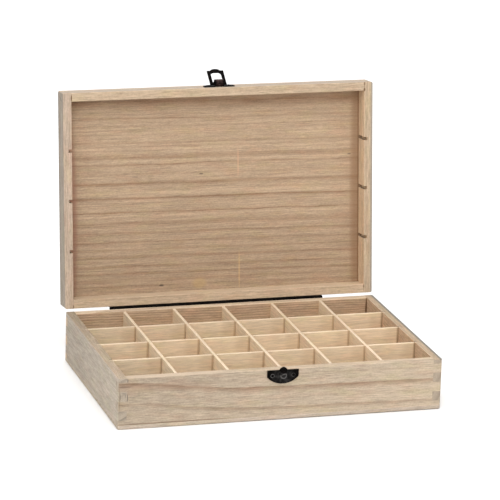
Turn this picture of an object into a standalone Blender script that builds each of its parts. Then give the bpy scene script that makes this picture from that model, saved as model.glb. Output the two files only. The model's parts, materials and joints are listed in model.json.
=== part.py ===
"""A shallow wooden box with 24 compartments, a hinged lid and a half-moon latch.

Metres, +Z up, +X to the right and +Y to the back. The origin is the middle of the underside.
The lid and the hasp are built closed and then turned about their pins: the lid stands open on
the hinge's stop and the hasp is tipped back.
"""

import math

import bmesh
import bpy
from mathutils import Matrix, Vector

# Fits
CLEARANCE = 0.0003
OVERRUN = 0.001
TOLERANCE = 1e-6

# Box, measured closed
BOX_WIDTH = 0.340
BOX_DEPTH = 0.229
BASE_HEIGHT = 0.0535
LID_HEIGHT = 0.0235
BOARD_THICKNESS = 0.0092
PANEL_THICKNESS = 0.0045
CORNER_RADIUS = 0.002
PANEL_EDGE_RADIUS = 0.0015
LID_OPEN_ANGLE = math.radians(96.5)

# Finger joints: one row of fingers runs up the glued box, which is then sawn into base and lid
FIRST_FINGER_TOP = 0.0095
FINGER_PITCH = 0.010
THINNEST_FINGER = 0.0012
SAW_KERF = 0.002

# Compartments
COLUMNS = 6
ROWS = 4
DIVIDER_THICKNESS = 0.003
DIVIDER_DROP = 0.0005
GROOVE_DEPTH = 0.0035

# Sheet metal and nails
LEAF_THICKNESS = 0.0008
PLATE_THICKNESS = 0.0008
NAIL_RADIUS = 0.0006
NAIL_LENGTH = 0.006
NAIL_POINT = 0.0012
NAIL_HEAD_RADIUS = 0.0015
NAIL_HEAD_HEIGHT = 0.0007
NAIL_CROWN_SHARE = 0.5

# Continuous hinge on the back
HINGE_LENGTH = 0.235
HINGE_SHIFT = -0.004
HINGE_KNUCKLES = 18
HINGE_NAILS = 5
KNUCKLE_RADIUS = 0.0018
PIN_RADIUS = 0.0007
PIN_END = 0.0005
LEAF_WIDTH = 0.0125
LEAF_NAIL_HEIGHT = 0.0082
STOP_LIP = 0.0022
STOP_BEND = 0.0003

# Half-moon latch on the front
BASE_PLATE_SHIFT = 0.0002
LID_PLATE_SHIFT = 0.0011
HASP_SHIFT = 0.0004
LATCH_WIDTH = 0.033
LATCH_HEIGHT = 0.0145
LATCH_SIDE = 0.0072
BASE_PLATE_DROP = 0.0005
LID_PLATE_SETBACK = 0.0035
LATCH_NAIL_REACH = 0.011
LATCH_NAIL_DEPTH = 0.0058
LOOP_RADIUS = 0.0038
LOOP_MOUTH = 0.0003
LOOP_PLAY = 0.001
HASP_THICKNESS = 0.0012
HASP_WIDTH = 0.018
HASP_LEG = 0.0033
HASP_LENGTH = 0.0177
HASP_CROWN = 0.0023
HASP_CROWN_WIDTH = 0.0105
HASP_BAR = 0.0034
HASP_WINDOW = 0.015
WINDOW_CORNER = 0.0035
HASP_SINK = 0.0007
HASP_TIPPED_ANGLE = math.radians(138)
HOOK_SIDE_ROOM = 0.0022
HOOK_ROOM = 0.0006
HOOK_BULGE = 0.003
HOOK_BULGE_TURN = math.radians(105)

# Round pieces
CURL_STEP = math.radians(22.5)
NAIL_SIDES = 12
PIN_SIDES = 16
CORNER_SEGMENTS = 3
ARC_STEPS = 12

# Places that follow from the sizes above
INNER_WIDTH = BOX_WIDTH - 2 * BOARD_THICKNESS
INNER_DEPTH = BOX_DEPTH - 2 * BOARD_THICKNESS
FLOOR = PANEL_THICKNESS + CLEARANCE
LID_RIM = BASE_HEIGHT + CLEARANCE
LID_TOP = LID_RIM + LID_HEIGHT
LID_CEILING = LID_TOP - PANEL_THICKNESS - CLEARANCE
SEAM = BASE_HEIGHT + CLEARANCE / 2
HINGE_AXIS = Vector((0, BOX_DEPTH / 2 + CLEARANCE + KNUCKLE_RADIUS, SEAM))
LATCH_FACE = BOX_DEPTH / 2 + CLEARANCE
BASE_LATCH_EDGE = BASE_HEIGHT - BASE_PLATE_DROP
LID_LATCH_EDGE = LID_RIM + LID_PLATE_SETBACK
LOOP_AXIS = Vector((0, -LATCH_FACE - LOOP_RADIUS, LID_LATCH_EDGE + LOOP_RADIUS))
HASP_AXIS = LOOP_AXIS + Vector((HASP_SHIFT, HASP_SINK, 0))
WINDOW_WIDTH = HASP_WIDTH - 2 * HASP_LEG


# Placing functions: each takes two outline coordinates and a depth
def along_x(y, z, x):
    """Place an outline drawn in Y and Z, with its depth along X."""
    return Vector((x, y, z))


def along_y(x, z, y):
    """Place an outline drawn in X and Z, with its depth along Y."""
    return Vector((x, y, z))


def along_z(x, y, z):
    """Place an outline drawn in X and Y, with its depth along Z."""
    return Vector((x, y, z))


# Modelling helpers
def paint(name, colour, roughness, metallic):
    """Return a plain Principled material."""
    material = bpy.data.materials.new(name)
    material.use_nodes = True
    shader = material.node_tree.nodes["Principled BSDF"]
    shader.inputs["Base Color"].default_value = (*colour, 1)
    shader.inputs["Roughness"].default_value = roughness
    shader.inputs["Metallic"].default_value = metallic
    return material


def prism(outline, near, far, place):
    """Push a flat outline from one depth to another and return the closed mesh."""
    mesh = bmesh.new()
    face = mesh.faces.new([mesh.verts.new(place(u, v, near)) for u, v in outline])
    pushed = bmesh.ops.extrude_face_region(mesh, geom=[face])
    ends = [item for item in pushed["geom"] if isinstance(item, bmesh.types.BMVert)]
    bmesh.ops.translate(mesh, vec=place(0, 0, far) - place(0, 0, near), verts=ends)
    bmesh.ops.recalc_face_normals(mesh, faces=mesh.faces)
    return mesh


def block(low, high):
    """Return a box mesh between two corners."""
    outline = [(low[0], low[1]), (high[0], low[1]), (high[0], high[1]), (low[0], high[1])]
    return prism(outline, low[2], high[2], along_z)


def merged(meshes):
    """Gather several meshes that don't touch into one."""
    whole = bmesh.new()
    for part in meshes:
        copy = bpy.data.meshes.new("copy")
        part.to_mesh(copy)
        part.free()
        whole.from_mesh(copy)
        bpy.data.meshes.remove(copy)
    return whole


def rounded(mesh, radius, chosen):
    """Round the edges that a test picks out."""
    edges = [edge for edge in mesh.edges if chosen(*(vert.co for vert in edge.verts))]
    bmesh.ops.bevel(
        mesh,
        geom=edges,
        offset=radius,
        segments=CORNER_SEGMENTS,
        profile=0.5,
        affect="EDGES",
        clamp_overlap=True,
    )
    return mesh


def pushed_face(mesh, face):
    """Extrude one face in place and return the new one."""
    grown = bmesh.ops.extrude_face_region(mesh, geom=[face, *face.edges])
    return next(item for item in grown["geom"] if isinstance(item, bmesh.types.BMFace))


def run_on(mesh, face, step):
    """Lengthen a strip by a straight step and return its new end."""
    end = pushed_face(mesh, face)
    bmesh.ops.translate(mesh, vec=step, verts=end.verts)
    return end


def curl(mesh, face, centre, turn):
    """Bend a strip on about an axis along X through a centre and return its new end."""
    steps = max(1, math.ceil(abs(turn) / CURL_STEP))
    matrix = Matrix.Rotation(turn / steps, 3, "X")
    for _ in range(steps):
        face = pushed_face(mesh, face)
        bmesh.ops.rotate(mesh, cent=centre, matrix=matrix, verts=face.verts)
    return face


def edge_faces(mesh, height):
    """Return the small faces of a sheet's edge that lie flat at a height."""
    return [
        face
        for face in mesh.faces
        if all(abs(vert.co.z - height) < TOLERANCE for vert in face.verts)
    ]


def add_piece(name, mesh, material, parent=None):
    """Make the object of a sub-part, in place or under the empty on its joint's axis."""
    if parent:
        bmesh.ops.translate(mesh, vec=-closed_place(parent), verts=mesh.verts)
    bmesh.ops.recalc_face_normals(mesh, faces=mesh.faces)
    data = bpy.data.meshes.new(name)
    mesh.to_mesh(data)
    mesh.free()
    data.materials.append(material)
    piece = bpy.data.objects.new(name, data)
    piece.parent = parent
    bpy.context.collection.objects.link(piece)
    return piece


def add_cutter(name, mesh, parent=None):
    """Make a hidden object that only cuts others."""
    cutter = add_piece(name, mesh, CUTTER_MATERIAL, parent)
    cutter.hide_render = True
    cutter.display_type = "WIRE"
    return cutter


def cut(piece, cutter):
    """Take a cutter's volume out of a piece."""
    modifier = piece.modifiers.new(cutter.name, "BOOLEAN")
    modifier.operation = "DIFFERENCE"
    modifier.solver = "EXACT"
    modifier.object = cutter


def add_axis(name, place, turn, parent=None):
    """Make the empty that carries the pieces of a moving body on its joint's axis."""
    axis = bpy.data.objects.new(name, None)
    axis.parent = parent
    axis.location = place - closed_place(parent) if parent else place
    axis.rotation_euler.x = turn
    bpy.context.collection.objects.link(axis)
    return axis


def closed_place(axis):
    """Return where an axis lies in the closed box."""
    return axis.location + closed_place(axis.parent) if axis.parent else axis.location


def lathe(profile, sides):
    """Turn a profile of (radius, height) points about Z."""
    mesh = bmesh.new()
    points = [mesh.verts.new((radius, 0, height)) for radius, height in profile]
    edges = [mesh.edges.new(pair) for pair in zip(points, points[1:])]
    bmesh.ops.spin(
        mesh,
        geom=points + edges,
        cent=(0, 0, 0),
        axis=(0, 0, 1),
        angle=math.tau,
        steps=sides,
        use_merge=True,
    )
    bmesh.ops.remove_doubles(mesh, verts=mesh.verts, dist=TOLERANCE)
    bmesh.ops.recalc_face_normals(mesh, faces=mesh.faces)
    return mesh


def arc(centre, radii, start, end, steps):
    """Return points on an ellipse's arc, both ends included."""
    angles = [start + (end - start) * index / steps for index in range(steps + 1)]
    return [
        (centre[0] + radii[0] * math.cos(angle), centre[1] + radii[1] * math.sin(angle))
        for angle in angles
    ]


def without_repeats(points):
    """Drop each point that repeats the one before it."""
    return [
        point
        for before, point in zip([points[-1]] + points, points)
        if math.dist(before, point) > TOLERANCE
    ]


# Boards, panels and dividers
def finger_bands(low, high, shift):
    """Split a board's height at the finger rows: (bottom, top, whether the front board owns it)."""
    first = math.floor((low - shift - FIRST_FINGER_TOP) / FINGER_PITCH) + 1
    last = math.ceil((high - shift - FIRST_FINGER_TOP) / FINGER_PITCH)
    rows = {row: FIRST_FINGER_TOP + shift + row * FINGER_PITCH for row in range(first, last)}
    rows = {
        row: height
        for row, height in rows.items()
        if low + THINNEST_FINGER < height < high - THINNEST_FINGER
    }
    heights = [low, *rows.values(), high]
    row_above = max(rows) + 1 if rows else first
    owners = [row % 2 == 0 for row in range(row_above - len(rows), row_above + 1)]
    return list(zip(heights, heights[1:], owners))


def board_outline(half_length, bands, owned):
    """Outline of a board with fingers at both ends: (along the board, height)."""
    root = half_length - BOARD_THICKNESS - CLEARANCE
    points = []
    for index, (low, high, front) in enumerate(bands):
        mine = front == owned
        end = half_length if mine else root
        ease = CLEARANCE / 2 if mine else -CLEARANCE / 2
        bottom = low + ease if index > 0 else low
        top = high - ease if index < len(bands) - 1 else high
        points += [(end, bottom), (end, top)]
    return points + [(-along, height) for along, height in reversed(points)]


def on_corner(first, second):
    """Tell whether an edge stands on one of the box's outer corners."""
    return (first.xy - second.xy).length < TOLERANCE and all(
        abs(abs(point.x) - BOX_WIDTH / 2) < TOLERANCE
        and abs(abs(point.y) - BOX_DEPTH / 2) < TOLERANCE
        for point in (first, second)
    )


def long_board(bands, side):
    """Front or back board, with its outer corners sanded round."""
    outline = board_outline(BOX_WIDTH / 2, bands, owned=True)
    outside = side * BOX_DEPTH / 2
    mesh = prism(outline, outside, outside - side * BOARD_THICKNESS, along_y)
    return rounded(mesh, CORNER_RADIUS, on_corner)


def short_board(bands, side):
    """Left or right board, with its outer corners sanded round."""
    outline = board_outline(BOX_DEPTH / 2, bands, owned=False)
    outside = side * BOX_WIDTH / 2
    mesh = prism(outline, outside, outside - side * BOARD_THICKNESS, along_x)
    return rounded(mesh, CORNER_RADIUS, on_corner)


def row_place(index, count, inner):
    """Middle of a divider, counted from the negative side, that splits a length evenly."""
    cell = (inner - (count - 1) * DIVIDER_THICKNESS) / count
    return -inner / 2 + index * (cell + DIVIDER_THICKNESS) - DIVIDER_THICKNESS / 2


def groove_mesh(side, low, high):
    """The grooves of a side board, which take the ends of the long dividers."""
    inside = side * INNER_WIDTH / 2
    ends = sorted((inside + side * GROOVE_DEPTH, inside - side * OVERRUN))
    half = DIVIDER_THICKNESS / 2 + CLEARANCE
    grooves = []
    for index in range(1, ROWS):
        middle = row_place(index, ROWS, INNER_DEPTH)
        grooves.append(
            block(
                (ends[0], middle - half, low - OVERRUN),
                (ends[1], middle + half, high + OVERRUN),
            )
        )
    return merged(grooves)


def panel(low, high, outer):
    """Bottom or top panel, rounded at its corners and round its outer face."""
    mesh = block(
        (-BOX_WIDTH / 2, -BOX_DEPTH / 2, low),
        (BOX_WIDTH / 2, BOX_DEPTH / 2, high),
    )
    rounded(mesh, CORNER_RADIUS, on_corner)

    def on_outer_face(first, second):
        return all(abs(point.z - outer) < TOLERANCE for point in (first, second))

    return rounded(mesh, PANEL_EDGE_RADIUS, on_outer_face)


def frame(prefix, low, high, shift, material, parent=None):
    """The four finger-jointed boards of the base or of the lid, by name."""
    bands = finger_bands(low, high, shift)
    boards = {}
    for place, side, shape in (
        ("front", -1, long_board),
        ("back", 1, long_board),
        ("left", -1, short_board),
        ("right", 1, short_board),
    ):
        name = f"{prefix}_{place}_board"
        boards[place] = add_piece(name, shape(bands, side), material, parent)
    for place, side in (("left", -1), ("right", 1)):
        mesh = groove_mesh(side, low, high)
        cut(boards[place], add_cutter(f"{prefix}_{place}_grooves", mesh, parent))
    return boards


def divider_outline(half_length, places, slots_open_up):
    """Outline of a divider with half-lap slots: (along the divider, height)."""
    low = FLOOR
    high = BASE_HEIGHT - DIVIDER_DROP
    lap = (low + high) / 2
    mouth, closed_edge = (high, low) if slots_open_up else (low, high)
    bottom = lap - CLEARANCE / 2 if slots_open_up else lap + CLEARANCE / 2
    half = DIVIDER_THICKNESS / 2 + CLEARANCE
    points = [(half_length, closed_edge), (half_length, mouth)]
    for middle in reversed(places):
        points += [
            (middle + half, mouth),
            (middle + half, bottom),
            (middle - half, bottom),
            (middle - half, mouth),
        ]
    return points + [(-half_length, mouth), (-half_length, closed_edge)]


def add_dividers(material):
    """Three long dividers in the grooves, with five short ones lapped over them."""
    columns = [row_place(index, COLUMNS, INNER_WIDTH) for index in range(1, COLUMNS)]
    rows = [row_place(index, ROWS, INNER_DEPTH) for index in range(1, ROWS)]
    half = DIVIDER_THICKNESS / 2
    long_half = INNER_WIDTH / 2 + GROOVE_DEPTH - CLEARANCE
    outline = divider_outline(long_half, columns, slots_open_up=True)
    for index, middle in enumerate(rows, start=1):
        mesh = prism(outline, middle - half, middle + half, along_y)
        add_piece(f"long_divider_{index}", mesh, material)
    outline = divider_outline(INNER_DEPTH / 2 - CLEARANCE, rows, slots_open_up=False)
    for index, middle in enumerate(columns, start=1):
        mesh = prism(outline, middle - half, middle + half, along_x)
        add_piece(f"short_divider_{index}", mesh, material)


# Nails
def nail_mesh(sheet):
    """A round-headed nail that stands along +Z, with zero on the outside of its sheet."""
    tip = -sheet - CLEARANCE - NAIL_LENGTH
    crown = CLEARANCE + NAIL_HEAD_HEIGHT
    shoulder = CLEARANCE + NAIL_CROWN_SHARE * NAIL_HEAD_HEIGHT
    return lathe(
        [
            (0, tip),
            (NAIL_RADIUS, tip + NAIL_POINT),
            (NAIL_RADIUS, CLEARANCE),
            (NAIL_HEAD_RADIUS, CLEARANCE),
            (NAIL_HEAD_RADIUS, shoulder),
            (NAIL_CROWN_SHARE * NAIL_HEAD_RADIUS, crown),
            (0, crown),
        ],
        NAIL_SIDES,
    )


def nail_hole(x, z, face, side):
    """The hole of one nail through its sheet and into the board."""
    outside = face + side * (PLATE_THICKNESS + OVERRUN)
    inside = face - side * (NAIL_LENGTH + 2 * CLEARANCE)
    outline = arc((x, z), (NAIL_RADIUS + CLEARANCE,) * 2, 0, math.tau, NAIL_SIDES)
    return prism(outline[:-1], outside, inside, along_y)


def add_nails(name, places, face, side, sheet, material, pieces, parent=None):
    """Nail a sheet to a board: the nails, and their holes in both pieces.

    face is the sheet's inner side in Y, and side is -1 at the front and 1 at the back.
    """
    holes = merged([nail_hole(x, z, face, side) for x, z in places])
    cutter = add_cutter(f"{name}_holes", holes, parent)
    for piece in pieces:
        cut(piece, cutter)
    data = bpy.data.meshes.new(name)
    mesh = nail_mesh(sheet)
    mesh.to_mesh(data)
    mesh.free()
    data.materials.append(material)
    data.shade_smooth()
    data.set_sharp_from_angle(angle=math.radians(40))
    for index, (x, z) in enumerate(places, start=1):
        nail = bpy.data.objects.new(f"{name}_{index}", data)
        nail.parent = parent
        origin = closed_place(parent) if parent else Vector()
        nail.location = Vector((x, face + side * sheet, z)) - origin
        nail.rotation_euler.x = -side * math.pi / 2
        bpy.context.collection.objects.link(nail)


# Hinge
def leaf_outline(owned, far, toward):
    """Outline of a leaf (x, z): a straight far edge, and tabs up to the pin where it has knuckles."""
    half = CLEARANCE / 2
    pitch = HINGE_LENGTH / HINGE_KNUCKLES
    left = HINGE_SHIFT - HINGE_LENGTH / 2
    right = left + HINGE_LENGTH
    notch = SEAM + toward * (KNUCKLE_RADIUS + CLEARANCE)
    points = [(left + half, notch), (left + half, far), (right - half, far), (right - half, notch)]
    for index in reversed(range(HINGE_KNUCKLES)):
        if index % 2 == owned:
            end = left + (index + 1) * pitch - half
            start = left + index * pitch + half
            points += [(end, notch), (end, SEAM), (start, SEAM), (start, notch)]
    return without_repeats(points)


def leaf_sheet(owned, toward):
    """A flat leaf against the back face, before its knuckles are rolled."""
    face = BOX_DEPTH / 2 + CLEARANCE
    outline = leaf_outline(owned, SEAM + toward * LEAF_WIDTH, toward)
    return prism(outline, face, face + LEAF_THICKNESS, along_y)


def base_leaf_mesh():
    """Leaf on the base: its knuckles wrap the pin almost all the way round."""
    mesh = leaf_sheet(0, -1)
    mouth = KNUCKLE_RADIUS - LEAF_THICKNESS - CLEARANCE
    wrap = math.tau - math.acos(mouth / KNUCKLE_RADIUS)
    for face in edge_faces(mesh, SEAM):
        curl(mesh, face, HINGE_AXIS, -wrap)
    return mesh


def lid_leaf_mesh():
    """Leaf on the lid: its knuckles run under the pin and end in lips.

    With the lid open each lip hangs against the base's leaf, which stops the lid.
    """
    mesh = leaf_sheet(1, 1)
    reach = KNUCKLE_RADIUS + STOP_BEND
    leaf_outside = KNUCKLE_RADIUS - LEAF_THICKNESS
    bend_open = -math.acos((CLEARANCE - leaf_outside - STOP_BEND) / reach)
    bend_closed = bend_open + LID_OPEN_ANGLE
    bend_centre = HINGE_AXIS + reach * Vector((0, math.cos(bend_closed), math.sin(bend_closed)))
    lip_rise = LID_OPEN_ANGLE - math.pi / 2
    lip = STOP_LIP * Vector((0, math.cos(lip_rise), math.sin(lip_rise)))
    for face in edge_faces(mesh, SEAM):
        end = curl(mesh, face, HINGE_AXIS, math.pi + bend_closed)
        end = curl(mesh, end, bend_centre, lip_rise - bend_closed - math.pi / 2)
        run_on(mesh, end, lip)
    return mesh


def pin_mesh():
    """The hinge pin, a little longer than the knuckles."""
    half = HINGE_LENGTH / 2 + PIN_END
    centre = (HINGE_AXIS.y, HINGE_AXIS.z)
    outline = arc(centre, (PIN_RADIUS, PIN_RADIUS), 0, math.tau, PIN_SIDES)[:-1]
    return prism(outline, HINGE_SHIFT - half, HINGE_SHIFT + half, along_x)


def add_hinge(base_back, lid_back, metal, lid_axis):
    """The continuous hinge: two nailed leaves and the pin."""
    base_leaf = add_piece("hinge_base_leaf", base_leaf_mesh(), metal)
    lid_leaf = add_piece("hinge_lid_leaf", lid_leaf_mesh(), metal, lid_axis)
    add_piece("hinge_pin", pin_mesh(), metal)
    left = HINGE_SHIFT - HINGE_LENGTH / 2
    spacing = HINGE_LENGTH / HINGE_NAILS
    columns = [left + (index + 0.5) * spacing for index in range(HINGE_NAILS)]
    face = BOX_DEPTH / 2 + CLEARANCE
    places = [(x, SEAM - LEAF_NAIL_HEIGHT) for x in columns]
    add_nails("base_leaf_nail", places, face, 1, LEAF_THICKNESS, metal, (base_leaf, base_back))
    places = [(x, SEAM + LEAF_NAIL_HEIGHT) for x in columns]
    pieces = (lid_leaf, lid_back)
    add_nails("lid_leaf_nail", places, face, 1, LEAF_THICKNESS, metal, pieces, lid_axis)


# Latch
def half_moon(shift, edge, toward, tab, notch):
    """Outline of a latch plate (x, z): straight edge, short sides and a round end.

    shift is the plate's middle in X.
    toward is 1 for a plate that rises from its straight edge and -1 for one that hangs.
    tab is the width of the strip that is bent out of the straight edge, notch its depth.
    """
    half = LATCH_WIDTH / 2
    sagitta = LATCH_HEIGHT - LATCH_SIDE
    radius = (half**2 + sagitta**2) / (2 * sagitta)
    spread = math.asin(half / radius)
    centre = (shift, edge + toward * (LATCH_HEIGHT - radius))
    upright = toward * math.pi / 2
    round_end = arc(centre, (radius, radius), upright + spread, upright - spread, ARC_STEPS)
    slit = tab / 2 + CLEARANCE if notch else tab / 2
    straight = [
        (half, edge),
        (slit, edge),
        (slit, edge + toward * notch),
        (tab / 2, edge + toward * notch),
    ]
    if toward < 0:
        round_end.reverse()
    right = [(shift + along, height) for along, height in straight]
    left = [(shift - along, height) for along, height in reversed(straight)]
    return without_repeats(right + left + round_end)


def strip_face(mesh, shift, height, width):
    """Return the edge face that a strip grows from."""
    return next(
        face
        for face in edge_faces(mesh, height)
        if abs(face.calc_center_median().x - shift) < width / 2
    )


def lid_plate_mesh():
    """Half moon on the lid, whose middle strip is rolled into the loop for the hasp's bar."""
    width = WINDOW_WIDTH - 2 * LOOP_PLAY
    outline = half_moon(LID_PLATE_SHIFT, LID_LATCH_EDGE, 1, width, LOOP_RADIUS)
    mesh = prism(outline, -LATCH_FACE, -LATCH_FACE - PLATE_THICKNESS, along_y)
    mouth = LOOP_RADIUS - PLATE_THICKNESS - LOOP_MOUTH
    wrap = math.tau - math.acos(mouth / LOOP_RADIUS)
    curl(mesh, strip_face(mesh, LID_PLATE_SHIFT, LOOP_AXIS.z, width), LOOP_AXIS, -wrap)
    return mesh


def hook_width():
    """Width of the hook, which passes through the hasp's window."""
    return WINDOW_WIDTH - 2 * HOOK_SIDE_ROOM


def window_end(reach):
    """Height of the window's end at a distance from its middle, with the hasp hanging."""
    past = max(reach + WINDOW_CORNER - WINDOW_WIDTH / 2, 0)
    rise = WINDOW_CORNER - math.sqrt(WINDOW_CORNER**2 - past**2)
    return HASP_AXIS.z - HASP_WINDOW + rise


def base_plate_mesh():
    """Half moon on the base, whose middle strip is curled up, over and down into the hook."""
    width = hook_width()
    mesh = prism(
        half_moon(BASE_PLATE_SHIFT, BASE_LATCH_EDGE, -1, width, 0),
        -LATCH_FACE,
        -LATCH_FACE - PLATE_THICKNESS,
        along_y,
    )
    front = HASP_AXIS.y - HASP_THICKNESS / 2 - HOOK_ROOM - PLATE_THICKNESS
    back = -LATCH_FACE
    top = LID_LATCH_EDGE - HOOK_ROOM
    reach = width / 2 + abs(BASE_PLATE_SHIFT - HASP_SHIFT)
    low = window_end(reach) + HOOK_ROOM
    bend = (back - front) / 2
    over = Vector((0, (back + front) / 2, top - bend))
    under = Vector((0, front + HOOK_BULGE, low + HOOK_BULGE))
    end = strip_face(mesh, BASE_PLATE_SHIFT, BASE_LATCH_EDGE, width)
    end = run_on(mesh, end, Vector((0, 0, over.z - BASE_LATCH_EDGE)))
    end = curl(mesh, end, over, math.pi)
    end = run_on(mesh, end, Vector((0, 0, under.z - over.z)))
    curl(mesh, end, under, HOOK_BULGE_TURN)
    return mesh


def hasp_outline():
    """Outline of the hanging hasp (x, z): a frame with a low crown for the finger."""
    half = HASP_WIDTH / 2
    top = HASP_AXIS.z + HASP_BAR / 2
    end = HASP_AXIS.z - HASP_LENGTH
    radii = (HASP_CROWN_WIDTH / 2, HASP_CROWN)
    crown = arc((HASP_SHIFT, end), radii, 0, -math.pi, ARC_STEPS // 2)
    return [
        (HASP_SHIFT - half, end),
        (HASP_SHIFT - half, top),
        (HASP_SHIFT + half, top),
        (HASP_SHIFT + half, end),
        *crown,
    ]


def window_outline():
    """Outline of the hasp's window (x, z), with two rounded corners at its end."""
    half = WINDOW_WIDTH / 2
    top = HASP_AXIS.z - HASP_BAR / 2
    height = HASP_AXIS.z - HASP_WINDOW + WINDOW_CORNER
    reach = half - WINDOW_CORNER
    radii = (WINDOW_CORNER, WINDOW_CORNER)
    low = 3 * math.pi / 2
    return [
        (HASP_SHIFT - half, top),
        *arc((HASP_SHIFT - reach, height), radii, math.pi, low, ARC_STEPS // 2),
        *arc((HASP_SHIFT + reach, height), radii, low, math.tau, ARC_STEPS // 2),
        (HASP_SHIFT + half, top),
    ]


def add_hasp(metal, hasp_axis):
    """The hasp, which hangs from its bar and is turned with its axis."""
    near = HASP_AXIS.y + HASP_THICKNESS / 2
    far = HASP_AXIS.y - HASP_THICKNESS / 2
    hasp = add_piece("latch_hasp", prism(hasp_outline(), near, far, along_y), metal, hasp_axis)
    window = prism(window_outline(), near + OVERRUN, far - OVERRUN, along_y)
    cut(hasp, add_cutter("hasp_window", window, hasp_axis))


def add_latch(base_front, lid_front, metal, lid_axis, hasp_axis):
    """The half-moon latch: two nailed plates and the hasp."""
    base_plate = add_piece("latch_base_plate", base_plate_mesh(), metal)
    lid_plate = add_piece("latch_lid_plate", lid_plate_mesh(), metal, lid_axis)
    add_hasp(metal, hasp_axis)
    sheet = PLATE_THICKNESS
    reaches = (-LATCH_NAIL_REACH, LATCH_NAIL_REACH)
    height = BASE_LATCH_EDGE - LATCH_NAIL_DEPTH
    places = [(BASE_PLATE_SHIFT + reach, height) for reach in reaches]
    pieces = (base_plate, base_front)
    add_nails("base_plate_nail", places, -LATCH_FACE, -1, sheet, metal, pieces)
    height = LID_LATCH_EDGE + LATCH_NAIL_DEPTH
    places = [(LID_PLATE_SHIFT + reach, height) for reach in reaches]
    pieces = (lid_plate, lid_front)
    add_nails("lid_plate_nail", places, -LATCH_FACE, -1, sheet, metal, pieces, lid_axis)


def build_box():
    """Model the whole box."""
    board_wood = paint("board_wood", (0.60, 0.45, 0.29), 0.7, 0)
    panel_wood = paint("panel_wood", (0.48, 0.33, 0.20), 0.7, 0)
    divider_wood = paint("divider_wood", (0.66, 0.50, 0.30), 0.7, 0)
    hinge_metal = paint("hinge_metal", (0.012, 0.011, 0.011), 0.4, 0.3)
    latch_metal = paint("latch_metal", (0.02, 0.018, 0.018), 0.45, 0.3)

    lid_axis = add_axis("lid_axis", HINGE_AXIS, -LID_OPEN_ANGLE)
    hasp_axis = add_axis("hasp_axis", HASP_AXIS, -HASP_TIPPED_ANGLE, lid_axis)

    base = frame("base", FLOOR, BASE_HEIGHT, 0, board_wood)
    lid_shift = CLEARANCE - SAW_KERF
    lid = frame("lid", LID_RIM, LID_CEILING, lid_shift, board_wood, lid_axis)
    add_piece("bottom_panel", panel(0, PANEL_THICKNESS, 0), panel_wood)
    top_panel = panel(LID_TOP - PANEL_THICKNESS, LID_TOP, LID_TOP)
    add_piece("lid_top_panel", top_panel, panel_wood, lid_axis)
    add_dividers(divider_wood)
    add_hinge(base["back"], lid["back"], hinge_metal, lid_axis)
    add_latch(base["front"], lid["front"], latch_metal, lid_axis, hasp_axis)


for leftover in list(bpy.data.objects):
    bpy.data.objects.remove(leftover)
CUTTER_MATERIAL = paint("cutter", (0.8, 0.1, 0.1), 0.5, 0)
build_box()
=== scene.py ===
"""Looks of a wooden box with 24 compartments, a hinged lid and a half-moon latch.

The box is raw, pale paulownia. Each board keeps the shape of its solid, with its glue joints drawn
tight and its edges sanded soft, and takes its grain from a solid pattern of growth rings, so that
faces, edges and end grain agree. The hinge and the latch are thin steel in black paint, bent round
in finer steps than the solids. Lengths are metres, and millimetres inside the materials.
"""

import json
import logging
import math
from collections.abc import Callable
from dataclasses import dataclass, field, replace
from enum import Enum

import bmesh
import bpy
from mathutils import Matrix, Vector

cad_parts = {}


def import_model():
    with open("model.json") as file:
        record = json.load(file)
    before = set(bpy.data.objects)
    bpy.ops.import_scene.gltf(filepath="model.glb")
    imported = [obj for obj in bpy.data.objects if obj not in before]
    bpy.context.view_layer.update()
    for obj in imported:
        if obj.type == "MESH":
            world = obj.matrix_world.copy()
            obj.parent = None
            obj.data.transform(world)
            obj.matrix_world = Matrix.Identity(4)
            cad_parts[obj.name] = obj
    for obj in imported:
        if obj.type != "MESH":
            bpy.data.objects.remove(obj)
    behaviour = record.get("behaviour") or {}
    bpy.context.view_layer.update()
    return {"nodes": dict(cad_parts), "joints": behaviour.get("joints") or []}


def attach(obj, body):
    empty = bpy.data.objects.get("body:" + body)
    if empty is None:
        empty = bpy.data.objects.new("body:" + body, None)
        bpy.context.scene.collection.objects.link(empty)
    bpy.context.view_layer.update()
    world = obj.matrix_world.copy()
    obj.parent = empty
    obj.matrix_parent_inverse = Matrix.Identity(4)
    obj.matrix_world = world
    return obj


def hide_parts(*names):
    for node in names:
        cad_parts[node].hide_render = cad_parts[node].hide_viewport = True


LOG = logging.getLogger("box")
MILLIMETRES = 1000.0
NEAR = 1e-5
CUT = 1e-7
WELD = 1e-6
FLAT = math.radians(1.0)
SHARP = math.radians(40.0)
ON_PLANE = 4e-5
SQUARE_ON = 0.999
BANDS_PER_RAMP = 10

Triple = tuple[float, float, float]
Colour = tuple[float, float, float]
Spots = tuple[float, float, float]
Rise = tuple[float, float]
Mesh = bmesh.types.BMesh
Edges = list[bmesh.types.BMEdge]
Faces = list[bmesh.types.BMFace]
Verts = list[bmesh.types.BMVert]


class Body(Enum):
    """The bodies that move: the base stands, the lid turns on it and the hasp on the lid."""

    BASE = "base"
    LID = "lid"
    HASP = "hasp"


class Grain(Enum):
    """Which way a board's fibres run, as the turn about Z that brings them onto X."""

    WIDTH = 0.0
    DEPTH = -math.pi / 2


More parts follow.
